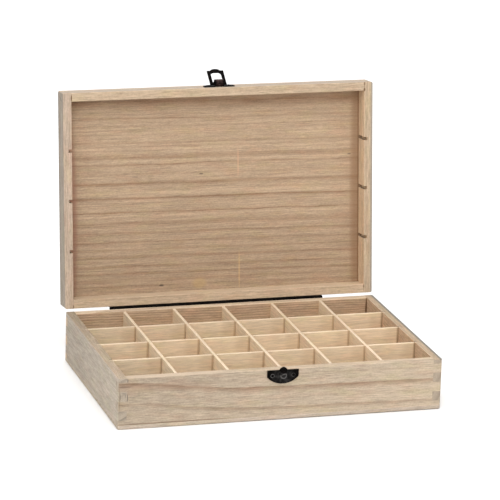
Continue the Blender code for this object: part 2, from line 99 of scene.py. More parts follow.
class Term:
    """A value or colour that varies over a surface, with arithmetic that adds shader nodes."""

    def __init__(self, graph: "Graph", socket: bpy.types.NodeSocket) -> None:
        """Wrap an output socket of a material's node graph."""
        self.graph = graph
        self.socket = socket

    def __add__(self, other: "Term | float") -> "Term":
        """Return the sum."""
        return self.graph.math("ADD", self, other)

    def __radd__(self, other: "Term | float") -> "Term":
        """Return the sum, where this term stands second."""
        return self.graph.math("ADD", other, self)

    def __sub__(self, other: "Term | float") -> "Term":
        """Return the difference."""
        return self.graph.math("SUBTRACT", self, other)

    def __rsub__(self, other: "Term | float") -> "Term":
        """Return the difference, where this term stands second."""
        return self.graph.math("SUBTRACT", other, self)

    def __mul__(self, other: "Term | float") -> "Term":
        """Return the product."""
        return self.graph.math("MULTIPLY", self, other)

    def __rmul__(self, other: "Term | float") -> "Term":
        """Return the product, where this term stands second."""
        return self.graph.math("MULTIPLY", other, self)

    def __truediv__(self, other: "Term | float") -> "Term":
        """Return the quotient."""
        return self.graph.math("DIVIDE", self, other)

    def __pow__(self, other: "Term | float") -> "Term":
        """Return this term raised to a power."""
        return self.graph.math("POWER", self, other)

    def __abs__(self) -> "Term":
        """Return the size without its sign."""
        return self.graph.math("ABSOLUTE", self)

    def fraction(self) -> "Term":
        """Return what stands after the point."""
        return self.graph.math("FRACT", self)

    def whole(self) -> "Term":
        """Return what stands before the point."""
        return self.graph.math("FLOOR", self)

    def root(self) -> "Term":
        """Return the square root."""
        return self.graph.math("SQRT", self)

    def least(self, other: "Term | float") -> "Term":
        """Return the smaller of two."""
        return self.graph.math("MINIMUM", self, other)

    def most(self, other: "Term | float") -> "Term":
        """Return the larger of two."""
        return self.graph.math("MAXIMUM", self, other)

    def step(self, low: float, high: float) -> "Term":
        """Return 0 below one bound and 1 above the other, with a smooth rise between them.

        Args:
            low: The bound of the 0.
            high: The bound of the 1.

        Returns:
            The share.
        """
        values = {"Value": self, "From Min": low, "From Max": high}
        settings = {"interpolation_type": "SMOOTHSTEP"}
        return Term(self.graph, self.graph.node("MapRange", settings, values).outputs["Result"])


class Graph:
    """The node graph of one material."""

    def __init__(self, name: str) -> None:
        """Start a material with its Principled shader.

        Args:
            name: The material's name.
        """
        self.material = bpy.data.materials.new(name)
        self.material.use_nodes = True
        self.tree = self.material.node_tree
        self.shader = self.tree.nodes["Principled BSDF"]

    def node(self, kind: str, settings: dict, values: dict) -> bpy.types.Node:
        """Add a node, set its options and then its sockets.

        Args:
            kind: The node's type without its ShaderNode prefix.
            settings: Options of the node, set before its sockets.
            values: Numbers, colours or terms by the name or index of an input.

        Returns:
            The new node.
        """
        node = self.tree.nodes.new(f"ShaderNode{kind}")
        for key, value in settings.items():
            if key == "stops":
                self.fill_ramp(node.color_ramp.elements, value)
            else:
                setattr(node, key, value)
        for key, value in values.items():
            self.feed(node.inputs[key], value)
        return node

    def fill_ramp(self, elements: object, stops: list[tuple[float, float]]) -> None:
        """Set a ramp's grey stops, given as pairs of place and value.

        Args:
            elements: The ramp's stops, two at first.
            stops: The pairs, in order.
        """
        for place, _ in stops[2:]:
            elements.new(place)
        for element, (place, value) in zip(elements, stops):
            element.position = place
            element.color = (value, value, value, 1.0)

    def feed(self, socket: bpy.types.NodeSocket, value: object) -> None:
        """Link a term to a socket, or set the socket's own value.

        Args:
            socket: An input of a node.
            value: A term, number or colour for it.
        """
        if isinstance(value, Term):
            self.tree.links.new(value.socket, socket)
        else:
            socket.default_value = value

    def finish(self, **inputs: object) -> bpy.types.Material:
        """Feed the shader's sockets, named with _ for a space, and return the material.

        Args:
            inputs: Values or terms by the name of a socket.

        Returns:
            The material.
        """
        for name, value in inputs.items():
            self.feed(self.shader.inputs[name.replace("_", " ")], value)
        return self.material

    def math(self, operation: str, *terms: "Term | float") -> Term:
        """Return the result of a Math node."""
        node = self.node("Math", {"operation": operation}, dict(enumerate(terms)))
        return Term(self, node.outputs[0])

    def blend(self, share: "Term | float", low: "Term | Colour", high: "Term | Colour") -> Term:
        """Return a colour between two, by a share from 0 to 1.

        Args:
            share: 0 for the first colour and 1 for the second.
            low: The first colour.
            high: The second colour.

        Returns:
            The colour.
        """
        ends = [end if isinstance(end, Term) else (*end, 1.0) for end in (low, high)]
        values = {0: share, 6: ends[0], 7: ends[1]}
        node = self.node("Mix", {"data_type": "RGBA", "clamp_factor": True}, values)
        return Term(self, node.outputs[2])

    def shade(self, colour: "Term | Colour", share: "Term | float") -> Term:
        """Return a colour scaled in brightness by a share."""
        node = self.node("VectorMath", {"operation": "SCALE"}, {0: colour, "Scale": share})
        return Term(self, node.outputs[0])

    def tint(self, colour: "Term | Colour", by: Colour) -> Term:
        """Return a colour multiplied by another."""
        node = self.node("VectorMath", {"operation": "MULTIPLY"}, {0: colour, 1: by})
        return Term(self, node.outputs[0])

    def dot(self, vector: Term, way: Triple) -> Term:
        """Return how far a vector points one way."""
        node = self.node("VectorMath", {"operation": "DOT_PRODUCT"}, {0: vector, 1: way})
        return Term(self, node.outputs["Value"])

    def axes(self, vector: Term) -> tuple[Term, Term, Term]:
        """Return a vector's three parts."""
        node = self.node("SeparateXYZ", {}, {0: vector})
        return tuple(Term(self, output) for output in node.outputs)

    def noise(self, place: Term, spots: Spots, detail: float = 2.0) -> Term:
        """Return soft random values from 0 to 1.

        Args:
            place: Where on the surface, in millimetres.
            spots: How long a spot is along each axis, in millimetres.
            detail: How many finer layers lie on the spots.

        Returns:
            The values.
        """
        scale = tuple(1.0 / spot for spot in spots)
        node = self.node("VectorMath", {"operation": "MULTIPLY"}, {0: place, 1: scale})
        values = {"Vector": Term(self, node.outputs[0]), "Scale": 1.0, "Detail": detail}
        return Term(self, self.node("TexNoise", {}, values).outputs[0])

    def lottery(self, number: Term) -> Term:
        """Return one random value from 0 to 1 for each whole number."""
        node = self.node("TexWhiteNoise", {"noise_dimensions": "1D"}, {"W": number})
        return Term(self, node.outputs[0])

    def place(self, turn: Matrix) -> Term:
        """Return the place in the piece in millimetres, in a board's own directions.

        Args:
            turn: The matrix that brings the piece onto the board's own directions.

        Returns:
            The place.
        """
        source = Term(self, self.node("TexCoord", {}, {}).outputs["Object"])
        values = {
            "Vector": source,
            "Location": tuple(turn.translation * MILLIMETRES),
            "Rotation": tuple(turn.to_euler()),
            "Scale": (MILLIMETRES,) * 3,
        }
        return Term(self, self.node("Mapping", {"vector_type": "POINT"}, values).outputs[0])

    def shifted(self, place: Term, seed: float) -> Term:
        """Return a place moved far along, for patterns that differ from board to board."""
        node = self.node("VectorMath", {"operation": "ADD"}, {0: place, 1: (seed, 0.0, 0.0)})
        return Term(self, node.outputs[0])

    def facing(self, turn: Matrix) -> Term:
        """Return the way that the surface faces, in a board's own directions.

        Args:
            turn: The matrix that brings the piece onto the board's own directions.

        Returns:
            The way, as a vector of length 1.
        """
        source = Term(self, self.node("TexCoord", {}, {}).outputs["Normal"])
        values = {"Vector": source, "Rotation": tuple(turn.to_euler())}
        return Term(self, self.node("Mapping", {"vector_type": "VECTOR"}, values).outputs[0])

    def relief(self, height: Term, depth: float) -> Term:
        """Return the normals of a relief of a depth in metres, from a height of 0 to 1."""
        values = {"Strength": 1.0, "Distance": depth, "Height": height}
        return Term(self, self.node("Bump", {}, values).outputs[0])


class Across(Enum):
    """Which of a board's own directions its grain lines are stacked along."""

    WIDTH = 1
    HEIGHT = 2


@dataclass(frozen=True)
class Band:
    """One growth line: where its core lies, how far it fades below and above, and its depth.

    A line with a depth below zero is paler than the wood.
    """

    core: float
    below: float
    above: float
    depth: float


@dataclass(frozen=True)
class Warp:
    """How the growth lines run off straight: they fall between two places, and slope as a whole."""

    fall: float = 0.0
    start: float = -150.0
    end: float = -40.0
    slope: float = 0.0


@dataclass(frozen=True)
class Mark:
    """A small oval mark: its middle and half lengths along, across and up, and its tint."""

    middle: Triple
    reach: Triple
    strength: float
    tint: Colour = (0.16, 0.11, 0.08)


@dataclass(frozen=True)
class Facet:
    """A tint for the faces of a board that look one way, in the board's own directions; several
    boards use it to paint light or shade onto one side.
    """

    way: Triple
    tint: Colour


@dataclass(frozen=True)
class RawWood:
    """Raw wood, sanded but not sealed. Colours are linear and lengths are millimetres.

    Rings are cylinders about a pith that lies away from the board, so that they show as lines
    along a face and as arcs on end grain. Bands are single lines that stand out among them.
    Values that end in spots are the lengths of a pattern's spots along, across and up, and those
    that end in rise are the bounds between which something goes from 0 to 1.
    """

    tone: Colour = (0.500, 0.390, 0.280)
    late: Colour = (0.64, 0.55, 0.49)
    end: Colour = (0.93, 0.95, 0.97)
    end_rings: float = 0.3
    arris: float = 0.07
    pith: tuple[float, float] = (30.0, 130.0)
    ring: float = 7.0
    ring_strength: float = 0.35
    sway: float = 12.0
    fibre: float = 0.95
    thread: float = 0.60
    streak: float = 16.0
    mottle: float = 0.22
    fleck: float = 0.45
    facets: tuple[Facet, ...] = ()
    drift: tuple[float, float] = (1.0, 1.0)
    lean: tuple[float, float] = (1.0, 1.0)
    stack: float = 105.0
    reach: float = 170.0
    across: Across = Across.HEIGHT
    bands: tuple[Band, ...] = ()
    warp: Warp = field(default_factory=Warp)
    marks: tuple[Mark, ...] = ()
    seed: float = 0.0
    ring_rise: Rise = (0.10, 0.90)
    ring_end_rise: Rise = (0.92, 1.0)
    ring_least: float = 0.2
    sway_spots: Spots = (210.0, 60.0, 60.0)
    wave: float = 1.3
    wave_spots: Spots = (34.0, 9.0, 9.0)
    waver: float = 1.6
    waver_spots: Spots = (16.0, 40.0, 40.0)
    ripple: float = 3.0
    ripple_spots: Spots = (90.0, 50.0, 50.0)
    vary: float = 1.5
    vary_least: float = 0.25
    vary_spots: Spots = (42.0, 14.0, 14.0)
    fibre_width: float = 1.1
    thread_spots: Spots = (7.0, 0.45, 0.45)
    mottle_spots: Spots = (60.0, 9.0, 9.0)
    fleck_spots: Spots = (2.2, 1.3, 1.3)
    pore: float = 0.10
    pore_spots: Spots = (6.0, 0.32, 0.32)
    pore_rise: Rise = (0.62, 0.74)
    cloud: float = 0.7
    cloud_spots: Spots = (26.0, 8.0, 8.0)
    cloud_rise: Rise = (0.45, 0.75)
    cloud_tints: tuple[tuple[Colour, float], ...] = (
        ((1.03, 0.94, 0.92), 300.0),
        ((0.97, 1.01, 0.90), 600.0),
    )
    pale_lines: float = 0.35
    speck: float = 0.5
    speck_spots: Spots = (0.9, 0.7, 0.7)
    arris_rise: Rise = (0.2, 1.5)
    mark_rise: Rise = (0.2, 1.0)
    facet_rise: Rise = (0.5, 0.9)
    sawn_rise: Rise = (0.55, 0.85)
    roughness: float = 0.74
    rough_fibres: float = 0.2
    sheen: float = 0.28
    relief: float = 0.00016
    relief_shares: Triple = (0.5, 0.4, 0.5)

    def straightened(self, graph: Graph, place: Term) -> tuple[Term, Term, Term]:
        """Return the place along, across and up, with the growth lines' warp taken off.

        Args:
            graph: The material's nodes.
            place: Where on the board, in millimetres.

        Returns:
            The three parts of the place.
        """
        parts = list(graph.axes(place))
        warp = self.warp
        level = 1.0 - parts[0].step(warp.start, warp.end)
        index = self.across.value
        parts[index] = parts[index] - level * warp.fall - parts[0] * warp.slope
        return parts[0], parts[1], parts[2]

    def rings(self, graph: Graph, place: Term) -> Term:
        """Return how dark the growth rings are, from 0 to 1.

        Args:
            graph: The material's nodes.
            place: Where on the board, in millimetres.

        Returns:
            The depth of the rings.
        """
        _, across, up = self.straightened(graph, place)
        start = graph.shifted(place, self.seed)
        sway = graph.noise(start, self.sway_spots, 1.0) - 0.5
        wave = graph.noise(start, self.wave_spots) - 0.5
        reach = ((across - self.pith[0]) ** 2.0 + (up - self.pith[1]) ** 2.0).root()
        turns = (reach + sway * self.sway + wave * self.wave) / self.ring
        ring = turns.fraction()
        share = graph.lottery(turns.whole() + self.seed) * (1.0 - self.ring_least) + self.ring_least
        return ring.step(*self.ring_rise) ** 2.0 * (1.0 - ring.step(*self.ring_end_rise)) * share

    def single_bands(self, graph: Graph, place: Term) -> Term | float:
        """Return how dark the single growth lines are, up to 1.

        Args:
            graph: The material's nodes.
            place: Where on the board, in millimetres.

        Returns:
            The depth of the lines, below zero where one is paler.
        """
        if not self.bands:
            return 0.0
        start = graph.shifted(place, self.seed)
        height = self.straightened(graph, place)[self.across.value]
        waver = graph.noise(start, self.waver_spots) - 0.5
        ripple = graph.noise(start, self.ripple_spots, 1.0) - 0.5
        height = height + waver * self.waver + ripple * self.ripple
        whole: Term | float = 0.0
        ordered = sorted(self.bands, key=lambda band: band.core)
        for first in range(0, len(ordered), BANDS_PER_RAMP):
            group = ordered[first : first + BANDS_PER_RAMP]
            low = min(band.core - band.below for band in group) - 1.0
            span = max(band.core + band.above for band in group) + 1.0 - low
            stops = [(0.0, 0.5)]
            for band in group:
                stops += [
                    ((band.core - band.below - low) / span, 0.5),
                    ((band.core - low) / span, 0.5 + band.depth / 2),
                    ((band.core + band.above - low) / span, 0.5),
                ]
            share = (height - low) / span
            ramp = graph.node("ValToRGB", {"stops": stops}, {"Fac": share}).outputs[0]
            whole = whole + 2.0 * (Term(graph, ramp) - 0.5)
        return whole * (graph.noise(start, self.vary_spots) * self.vary + self.vary_least)

    def arrises(self, graph: Graph, place: Term, low: Vector, high: Vector) -> Term:
        """Return 1 on a board's edges, falling to 0 a little way in.

        Args:
            graph: The material's nodes.
            place: Where on the board, in millimetres.
            low: The board's lowest corner, in metres.
            high: The board's highest corner.

        Returns:
            The share.
        """
        middle = (low + high) / 2 * MILLIMETRES
        half = (high - low) / 2 * MILLIMETRES
        gaps = [
            reach - abs(part - centre)
            for part, centre, reach in zip(graph.axes(place), middle, half)
        ]
        nearest = gaps[0] + gaps[1] + gaps[2] - gaps[0].most(gaps[1]).most(gaps[2])
        return 1.0 - nearest.step(*self.arris_rise)

    def marked(self, graph: Graph, place: Term, colour: Term) -> Term:
        """Return a board's colour with its small marks.

        Args:
            graph: The material's nodes.
            place: Where on the board, in millimetres.
            colour: The colour without them.

        Returns:
            The colour.
        """
        parts = graph.axes(place)
        for mark in self.marks:
            far: Term | float = 0.0
            for part, middle, reach in zip(parts, mark.middle, mark.reach):
                far = far + ((part - middle) / reach) ** 2.0
            spot = 1.0 - far.step(*self.mark_rise)
            colour = graph.blend(spot * mark.strength, colour, mark.tint)
        return colour

    def faceted(self, graph: Graph, facing: Term, colour: Term) -> Term:
        """Return a board's colour with the tints of its sides.

        Args:
            graph: The material's nodes.
            facing: The way that the surface faces.
            colour: The colour without them.

        Returns:
            The colour.
        """
        for facet in self.facets:
            share = graph.dot(facing, facet.way).step(*self.facet_rise)
            colour = graph.blend(share, colour, graph.tint(colour, facet.tint))
        return colour

    def material(self, name: str, turn: Matrix, low: Vector, high: Vector) -> bpy.types.Material:
        """Make the material of one board.

        Args:
            name: The material's name.
            turn: The matrix that brings the piece onto the board's own directions, fibres along X.
            low: The board's lowest corner in those directions.
            high: The board's highest corner.

        Returns:
            The material.
        """
        graph = Graph(name)
        place = graph.place(turn)
        start = graph.shifted(place, self.seed)
        rings = self.rings(graph, place)
        fibres = graph.noise(start, (self.streak, self.fibre_width, self.fibre_width), 3.0)
        threads = graph.noise(start, self.thread_spots)
        mottle = graph.noise(start, self.mottle_spots, 3.0)
        flecks = graph.noise(start, self.fleck_spots)
        pores = graph.noise(start, self.pore_spots, 1.0).step(*self.pore_rise)
        dark = rings * self.ring_strength + self.single_bands(graph, place) + pores * self.pore
        parts = graph.axes(place)
        # Brighter or darker along and across the board; several boards use this for painted light
        # and shade.
        drift = (self.drift[1] - self.drift[0]) / 2 / self.reach
        lean = (self.lean[1] - self.lean[0]) / 2 / self.stack
        level = sum(self.drift) / 2 + sum(self.lean) / 2 - 1.0
        bright = parts[0] * drift + parts[self.across.value] * lean + level
        bright = bright + (fibres - 0.5) * self.fibre + (threads - 0.5) * self.thread
        bright = bright + (mottle - 0.5) * self.mottle + (flecks - 0.5) * self.fleck
        # Lighter along the edges: partly sanded wear, partly painted highlight.
        bright = bright + self.arrises(graph, place, low, high) * self.arris
        bright = bright - dark.least(0.0) * self.pale_lines
        late = tuple(tone * share for tone, share in zip(self.tone, self.late))
        face = graph.blend(dark, self.tone, late)
        for tint, seed in self.cloud_tints:
            cloud = graph.noise(graph.shifted(start, seed), self.cloud_spots)
            share = cloud.step(*self.cloud_rise) * self.cloud
            face = graph.blend(share, face, graph.tint(face, tint))
        facing = graph.facing(turn)
        face = graph.shade(face, bright)
        specks = graph.noise(start, self.speck_spots)
        sawn = abs(graph.dot(facing, (1.0, 0.0, 0.0))).step(*self.sawn_rise)
        end = tuple(tone * share for tone, share in zip(self.tone, self.end))
        cut = graph.shade(end, (specks - 0.5) * self.speck + level - rings * self.end_rings)
        colour = self.faceted(graph, facing, graph.blend(sawn, face, cut))
        by_fibres, by_threads, by_pores = self.relief_shares
        height = fibres * by_fibres + threads * by_threads - pores * by_pores
        return graph.finish(
            Base_Color=self.marked(graph, place, colour),
            Roughness=(fibres - 0.5) * self.rough_fibres + self.roughness,
            Specular_IOR_Level=self.sheen,
            Normal=graph.relief(height, self.relief),
        )


@dataclass(frozen=True)
class PaintedHighlight:
    """A ring of painted highlight about an axis along Y, in the closed box.

    Where its strength is below zero it takes away the painted highlight that others lay there,
    keeping the paint black.
    """

    centre: Vector
    radius: float
    half_width: float
    strength: float


@dataclass(frozen=True)
class BlackPaint:
    """Thin black paint on steel, a little worn and dusty, with rings of painted highlight. Colours
    are linear.
    """

    colour: Colour = (0.0018, 0.0012, 0.0010)
    worn: Colour = (0.040, 0.030, 0.027)
    highlight_colour: Colour = (0.105, 0.101, 0.098)
    gloss: float = 0.03
    roughness: float = 0.42
    rough_clouds: float = 0.25
    highlights: tuple[PaintedHighlight, ...] = ()
    highlight_core: float = 0.3
    highlight_rise: Rise = (0.34, 0.62)
    highlight_least: float = 0.25
    cloud: float = 0.30
    cloud_spots: Spots = (2.6, 2.6, 2.6)
    cloud_rise: Rise = (0.52, 0.82)
    peel: float = 0.6
    peel_spots: Spots = (0.5, 0.5, 0.5)
    scuff: float = 0.40
    scuff_spots: Spots = (3.5, 0.5, 0.9)
    scuff_rise: Rise = (0.58, 0.78)
    relief: float = 0.00007

    def material(self, name: str, turn: Matrix) -> bpy.types.Material:
        """Make the paint's material, for a piece that a matrix brings back to the closed box.

        Args:
            name: The material's name.
            turn: The matrix.

        Returns:
            The material.
        """
        graph = Graph(name)
        place = graph.place(turn)
        cloud = graph.noise(place, self.cloud_spots, 3.0)
        peel = graph.noise(place, self.peel_spots)
        scuffs = graph.noise(place, self.scuff_spots, 3.0).step(*self.scuff_rise)
        wear = cloud.step(*self.cloud_rise) * self.cloud + scuffs * self.scuff
        colour = graph.blend(wear, self.colour, self.worn)
        # Painted highlights: rings and discs lightened towards the highlight colour.
        painted_light: Term | float = 0.0
        along, _, up = graph.axes(place)
        for glint in self.highlights:
            centre = glint.centre * MILLIMETRES
            reach = ((along - centre.x) ** 2.0 + (up - centre.z) ** 2.0).root()
            core = glint.half_width * self.highlight_core
            ring = 1.0 - abs(reach - glint.radius).step(core, glint.half_width)
            patches = cloud.step(*self.highlight_rise) + self.highlight_least
            painted_light = painted_light + ring * patches * glint.strength
        if self.highlights:
            colour = graph.blend(painted_light.least(1.0), colour, self.highlight_colour)
        return graph.finish(
            Base_Color=colour,
            Roughness=cloud * self.rough_clouds + self.roughness,
            Specular_IOR_Level=self.gloss,
            Normal=graph.relief(peel * self.peel + cloud, self.relief),
        )


@dataclass(frozen=True)
class Hinging:
    """Where the two joints lie, and how far each stands open."""

    lid_axis: Vector
    hasp_axis: Vector
    lid_angle: float
    hasp_angle: float

    @classmethod
    def of(cls, joints: list[dict]) -> "Hinging":
        """Read the joints of the record.

        Args:
            joints: The record's joints, the lid's and the hasp's.

        Returns:
            The joints' axes in the closed box and their angles at rest.
        """
        facts = {joint["name"]: joint for joint in joints}
        lid, hasp = facts["lid_hinge"], facts["hasp_hinge"]
        lid_angle = math.radians(lid["range_deg"][1])
        lid_axis = Vector(lid["pos_m"])
        closing = cls.about(lid_axis, lid_angle)
        hasp_axis = closing @ Vector(hasp["pos_m"])
        return cls(lid_axis, hasp_axis, lid_angle, math.radians(hasp["range_deg"][1]))

    @staticmethod
    def about(axis: Vector, angle: float) -> Matrix:
        """Return the turn about a line along X."""
        shift = Matrix.Translation(axis)
        return shift @ Matrix.Rotation(angle, 4, "X") @ shift.inverted()

    def opening(self, body: Body) -> Matrix:
        """Return the matrix that takes a body's pieces from the closed box to rest.

        Args:
            body: The base, the lid or the hasp.

        Returns:
            The matrix.
        """
        lid = self.about(self.lid_axis, -self.lid_angle)
        hasp = self.about(self.hasp_axis, -self.hasp_angle)
        matrices = {Body.BASE: Matrix.Identity(4), Body.LID: lid, Body.HASP: lid @ hasp}
        return matrices[body]


def linked(name: str, data: bpy.types.ID) -> bpy.types.Object:
    """Put an object with some data in the scene.

    Args:
        name: The object's name.
        data: Its mesh, light or camera.

    Returns:
        The object.
    """
    thing = bpy.data.objects.new(name, data)
    bpy.context.scene.collection.objects.link(thing)
    return thing


def made_of(mesh: Mesh, name: str, material: bpy.types.Material) -> bpy.types.Object:
    """Use up a mesh for an object of one material, and put it in the scene.

    Args:
        mesh: The mesh.
        name: The object's name.
        material: Its material.

    Returns:
        The object.
    """
    data = bpy.data.meshes.new(name)
    mesh.to_mesh(data)
    mesh.free()
    data.materials.append(material)
    return linked(name, data)


def extremes(places: list[Vector]) -> tuple[Vector, Vector]:
    """Return the lowest and highest corners of the box round some places."""
    parts = list(zip(*places))
    return Vector([min(part) for part in parts]), Vector([max(part) for part in parts])


@dataclass
class Workshop:
    """What every sub-assembly needs: the solids, the joints and the way to add a piece."""

    nodes: dict[str, bpy.types.Object]
    hinging: Hinging

    def solid(self, node: str, body: Body) -> Mesh:
        """Return a welded copy of a solid, as it lies in the closed box.

        Args:
            node: The solid's name.
            body: The body that it rides on.

        Returns:
            The copy, with its flat faces joined.
        """
        mesh = bmesh.new()
        mesh.from_mesh(self.nodes[node].data)
        bmesh.ops.transform(mesh, matrix=self.hinging.opening(body).inverted(), verts=mesh.verts)
        bmesh.ops.remove_doubles(mesh, verts=mesh.verts, dist=NEAR)
        join_flats(mesh)
        return mesh

    def add(
        self, mesh: Mesh, node: str, body: Body, slot: str, material: bpy.types.Material
    ) -> None:
        """Finish a piece that stands for a solid.

        Args:
            mesh: Its mesh in the closed box. It is used up.
            node: The solid that it replaces.
            body: The body that it rides on.
            slot: The record's material slot; not used.
            material: Its material.
        """
        bmesh.ops.transform(mesh, matrix=self.hinging.opening(body), verts=mesh.verts)
        piece = made_of(mesh, f"{node}_piece", material)
        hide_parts(node)
        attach(piece, body.value)
        LOG.info("%s: %d faces", node, len(piece.data.polygons))


def join_flats(mesh: Mesh) -> None:
    """Join the faces that lie in one plane."""
    bmesh.ops.dissolve_limit(mesh, angle_limit=FLAT, verts=mesh.verts, edges=mesh.edges)


def round_edges(mesh: Mesh, edges: Edges, radius: float, steps: int) -> None:
    """Round some edges of a mesh, each with a few faces.

    Args:
        mesh: The mesh to change.
        edges: The edges.
        radius: How far the rounding starts from an edge.
        steps: How many faces it has across.
    """
    bmesh.ops.bevel(
        mesh,
        geom=edges,
        offset=radius,
        segments=steps,
        profile=0.5,
        affect="EDGES",
        clamp_overlap=True,
        material=-1,
    )


@dataclass
class Carpentry:
    """Boards, panels and dividers of the box.

    The levels, depths and reaches of marks are millimetres, as in the materials.
    """

    shop: Workshop
    width: float = 0.340
    depth: float = 0.229
    base_height: float = 0.0535
    lid_rim: float = 0.0538
    lid_top: float = 0.0773
    board: float = 0.0092
    panel: float = 0.0045
    divider: float = 0.003
    slack: float = 0.0003
    tight: float = 0.00003
    first_finger: float = 0.0095
    finger_pitch: float = 0.010
    lid_shift: float = -0.0017
    fingers: int = 8
    rim_radius: float = 0.0006
    divider_radius: float = 0.0004
    shortest_edge: float = 0.004
    cells: int = 6
    rows: int = 4
    groove_inset: float = 0.0016
    groove_level: float = 62.0
    groove_reach: Spots = (2.2, 2.6, 12.0)
    glue_depth: float = 3.0
    cell_level: float = 30.0
    cell_reach: tuple[float, float] = (200.0, 60.0)
    long_seed: float = 700.0
    short_seed: float = 1000.0
    seed_step: float = 70.0
    # Painted shade inside the lid's grooves.
    groove_shade: Colour = (0.040, 0.018, 0.006)
    # Glue lines on the lid's rims, and painted shade in inner corners and crevices.
    glue_and_corner_shade: Colour = (0.125, 0.060, 0.022)
    joint: Colour = (0.14, 0.11, 0.09)
    rim_edge_grey: Colour = (0.15, 0.145, 0.13)
    finger: Colour = (0.16, 0.13, 0.11)
    corner: Colour = (0.22, 0.17, 0.11)
    shade: Colour = (0.28, 0.165, 0.085)
    # Painted shade in the cells' corners.
    cell_end_shade: Colour = (0.42, 0.28, 0.16)
    board_wood: RawWood = field(default_factory=RawWood)
    lid_wood: RawWood = field(default_factory=RawWood)
    back_wood: RawWood = field(default_factory=RawWood)
    panel_wood: RawWood = field(default_factory=RawWood)
    divider_wood: RawWood = field(default_factory=RawWood)

    def draw_tight(self, mesh: Mesh, axis: int, planes: list[tuple[float, float]]) -> None:
        """Move the points that lie on planes across one axis, on both sides for X and Y.

        Args:
            mesh: The mesh to change.
            axis: 0, 1 or 2 for X, Y or Z.
            planes: Pairs of where a plane lies and where it goes.
        """
        sides = (1.0,) if axis == 2 else (1.0, -1.0)
        moves = [(side * old, side * new) for old, new in planes for side in sides]
        for vert in mesh.verts:
            for old, new in moves:
                if abs(vert.co[axis] - old) < ON_PLANE:
                    vert.co[axis] = new
                    break

    def finger_planes(self, body: Body) -> list[tuple[float, float]]:
        """Return where the fingers' flanks lie in the solids and where they meet.

        Args:
            body: The base or the lid.

        Returns:
            Pairs of the height in the solid and the height drawn tight.
        """
        shift = 0.0 if body is Body.BASE else self.lid_shift
        first = self.first_finger + shift
        return [
            (height + side * self.slack / 2, height + side * self.tight / 2)
            for height in (first + row * self.finger_pitch for row in range(self.fingers))
            for side in (-1.0, 1.0)
        ]

    def cell_end(self, cell: int) -> float:
        """Return where a cell ends at its right, in millimetres.

        Args:
            cell: The cell's number from the left, from 0.

        Returns:
            Its place in X.
        """
        inside = self.width - 2.0 * self.board
        pitch = (inside + self.divider) / self.cells
        return (pitch * (cell + 1) - self.divider - inside / 2) * MILLIMETRES

    def groove_shades(self, way: float) -> tuple[Mark, ...]:
        """Return the painted shade in the grooves of a lid's side board.

        Args:
            way: 1 for the left board and -1 for the right one.

        Returns:
            One mark for each groove, in the board's own directions.
        """
        across = way * (self.width / 2 - self.board + self.groove_inset) * MILLIMETRES
        pitch = (self.depth - 2.0 * self.board + self.divider) / self.rows * MILLIMETRES
        return tuple(
            Mark((row * pitch, across, self.groove_level), self.groove_reach, 1.0, self.groove_shade)
            for row in (-1, 0, 1)
        )

    def lid_joints(self, grain: Grain, side: float) -> tuple[Mark, ...]:
        """Return the glue lines where the lid's front and back meet a side board, on its rim.

        Args:
            grain: Which way the board's fibres run, as the lines lie on both boards.
            side: -1 for the left side board and 1 for the right one.

        Returns:
            The marks, in the board's own directions.
        """
        lines = {
            -1.0: ((-109.2, 4.4, 0.9, 0.80), (112.5, 2.4, 0.8, 0.70)),
            1.0: (
                (-113.0, 2.2, 1.2, 0.60),
                (-110.0, 5.0, 0.6, 0.45),
                (-106.4, 2.2, 1.3, 0.85),
                (107.0, 2.6, 0.9, 0.65),
                (110.0, 4.8, 0.6, 0.35),
            ),
        }
        along = side * (self.width / 2 - self.board) * MILLIMETRES
        rim, deep = self.lid_rim * MILLIMETRES, self.glue_depth
        return tuple(
            Mark((along, back, rim), (half, length, deep), strength, self.glue_and_corner_shade)
            if grain is Grain.WIDTH
            else Mark((back, -along, rim), (length, half, deep), strength, self.glue_and_corner_shade)
            for back, length, half, strength in lines[side]
        )

    def frame_board(self, body: Body, side: str, wood: RawWood) -> None:
        """Make a finger-jointed board with tight joints and soft rims.

        Args:
            body: The base or the lid.
            side: front, back, left or right.
            wood: Its wood.
        """
        node = f"{body.value}_{side}_board"
        mesh = self.shop.solid(node, body)
        seat = [
            (self.panel + self.slack, self.panel + self.tight),
            (self.lid_top - self.panel - self.slack, self.lid_top - self.panel - self.tight),
        ]
        self.draw_tight(mesh, 2, seat + self.finger_planes(body))
        axis, length = (0, self.width) if side in ("front", "back") else (1, self.depth)
        root = length / 2 - self.board
        self.draw_tight(mesh, axis, [(root - self.slack, root - self.tight)])
        rim = self.base_height if body is Body.BASE else self.lid_rim
        across, reach = (1, self.depth / 2) if axis == 0 else (0, self.width / 2)

        def on_rim(edge: bmesh.types.BMEdge) -> bool:
            """Say whether an edge runs along one of the rim's arrises.

            Args:
                edge: An edge of the board.

            Returns:
                Whether it does.
            """
            first, second = (vert.co for vert in edge.verts)
            level = all(abs(end.z - rim) < NEAR for end in (first, second))
            flush = any(
                all(abs(abs(end[across]) - plane) < NEAR for end in (first, second))
                for plane in (reach, reach - self.board)
            )
            return level and flush and abs(first[axis] - second[axis]) > self.shortest_edge

        round_edges(mesh, list(filter(on_rim, mesh.edges)), self.rim_radius, 3)
        grain = Grain.WIDTH if axis == 0 else Grain.DEPTH
        self.finish(mesh, node, body, grain, "board_wood", wood)

    def flat_panel(self, node: str, body: Body, wood: RawWood) -> None:
        """Make the bottom or top panel."""
        mesh = self.shop.solid(node, body)
        self.finish(mesh, node, body, Grain.WIDTH, "panel_wood", wood)

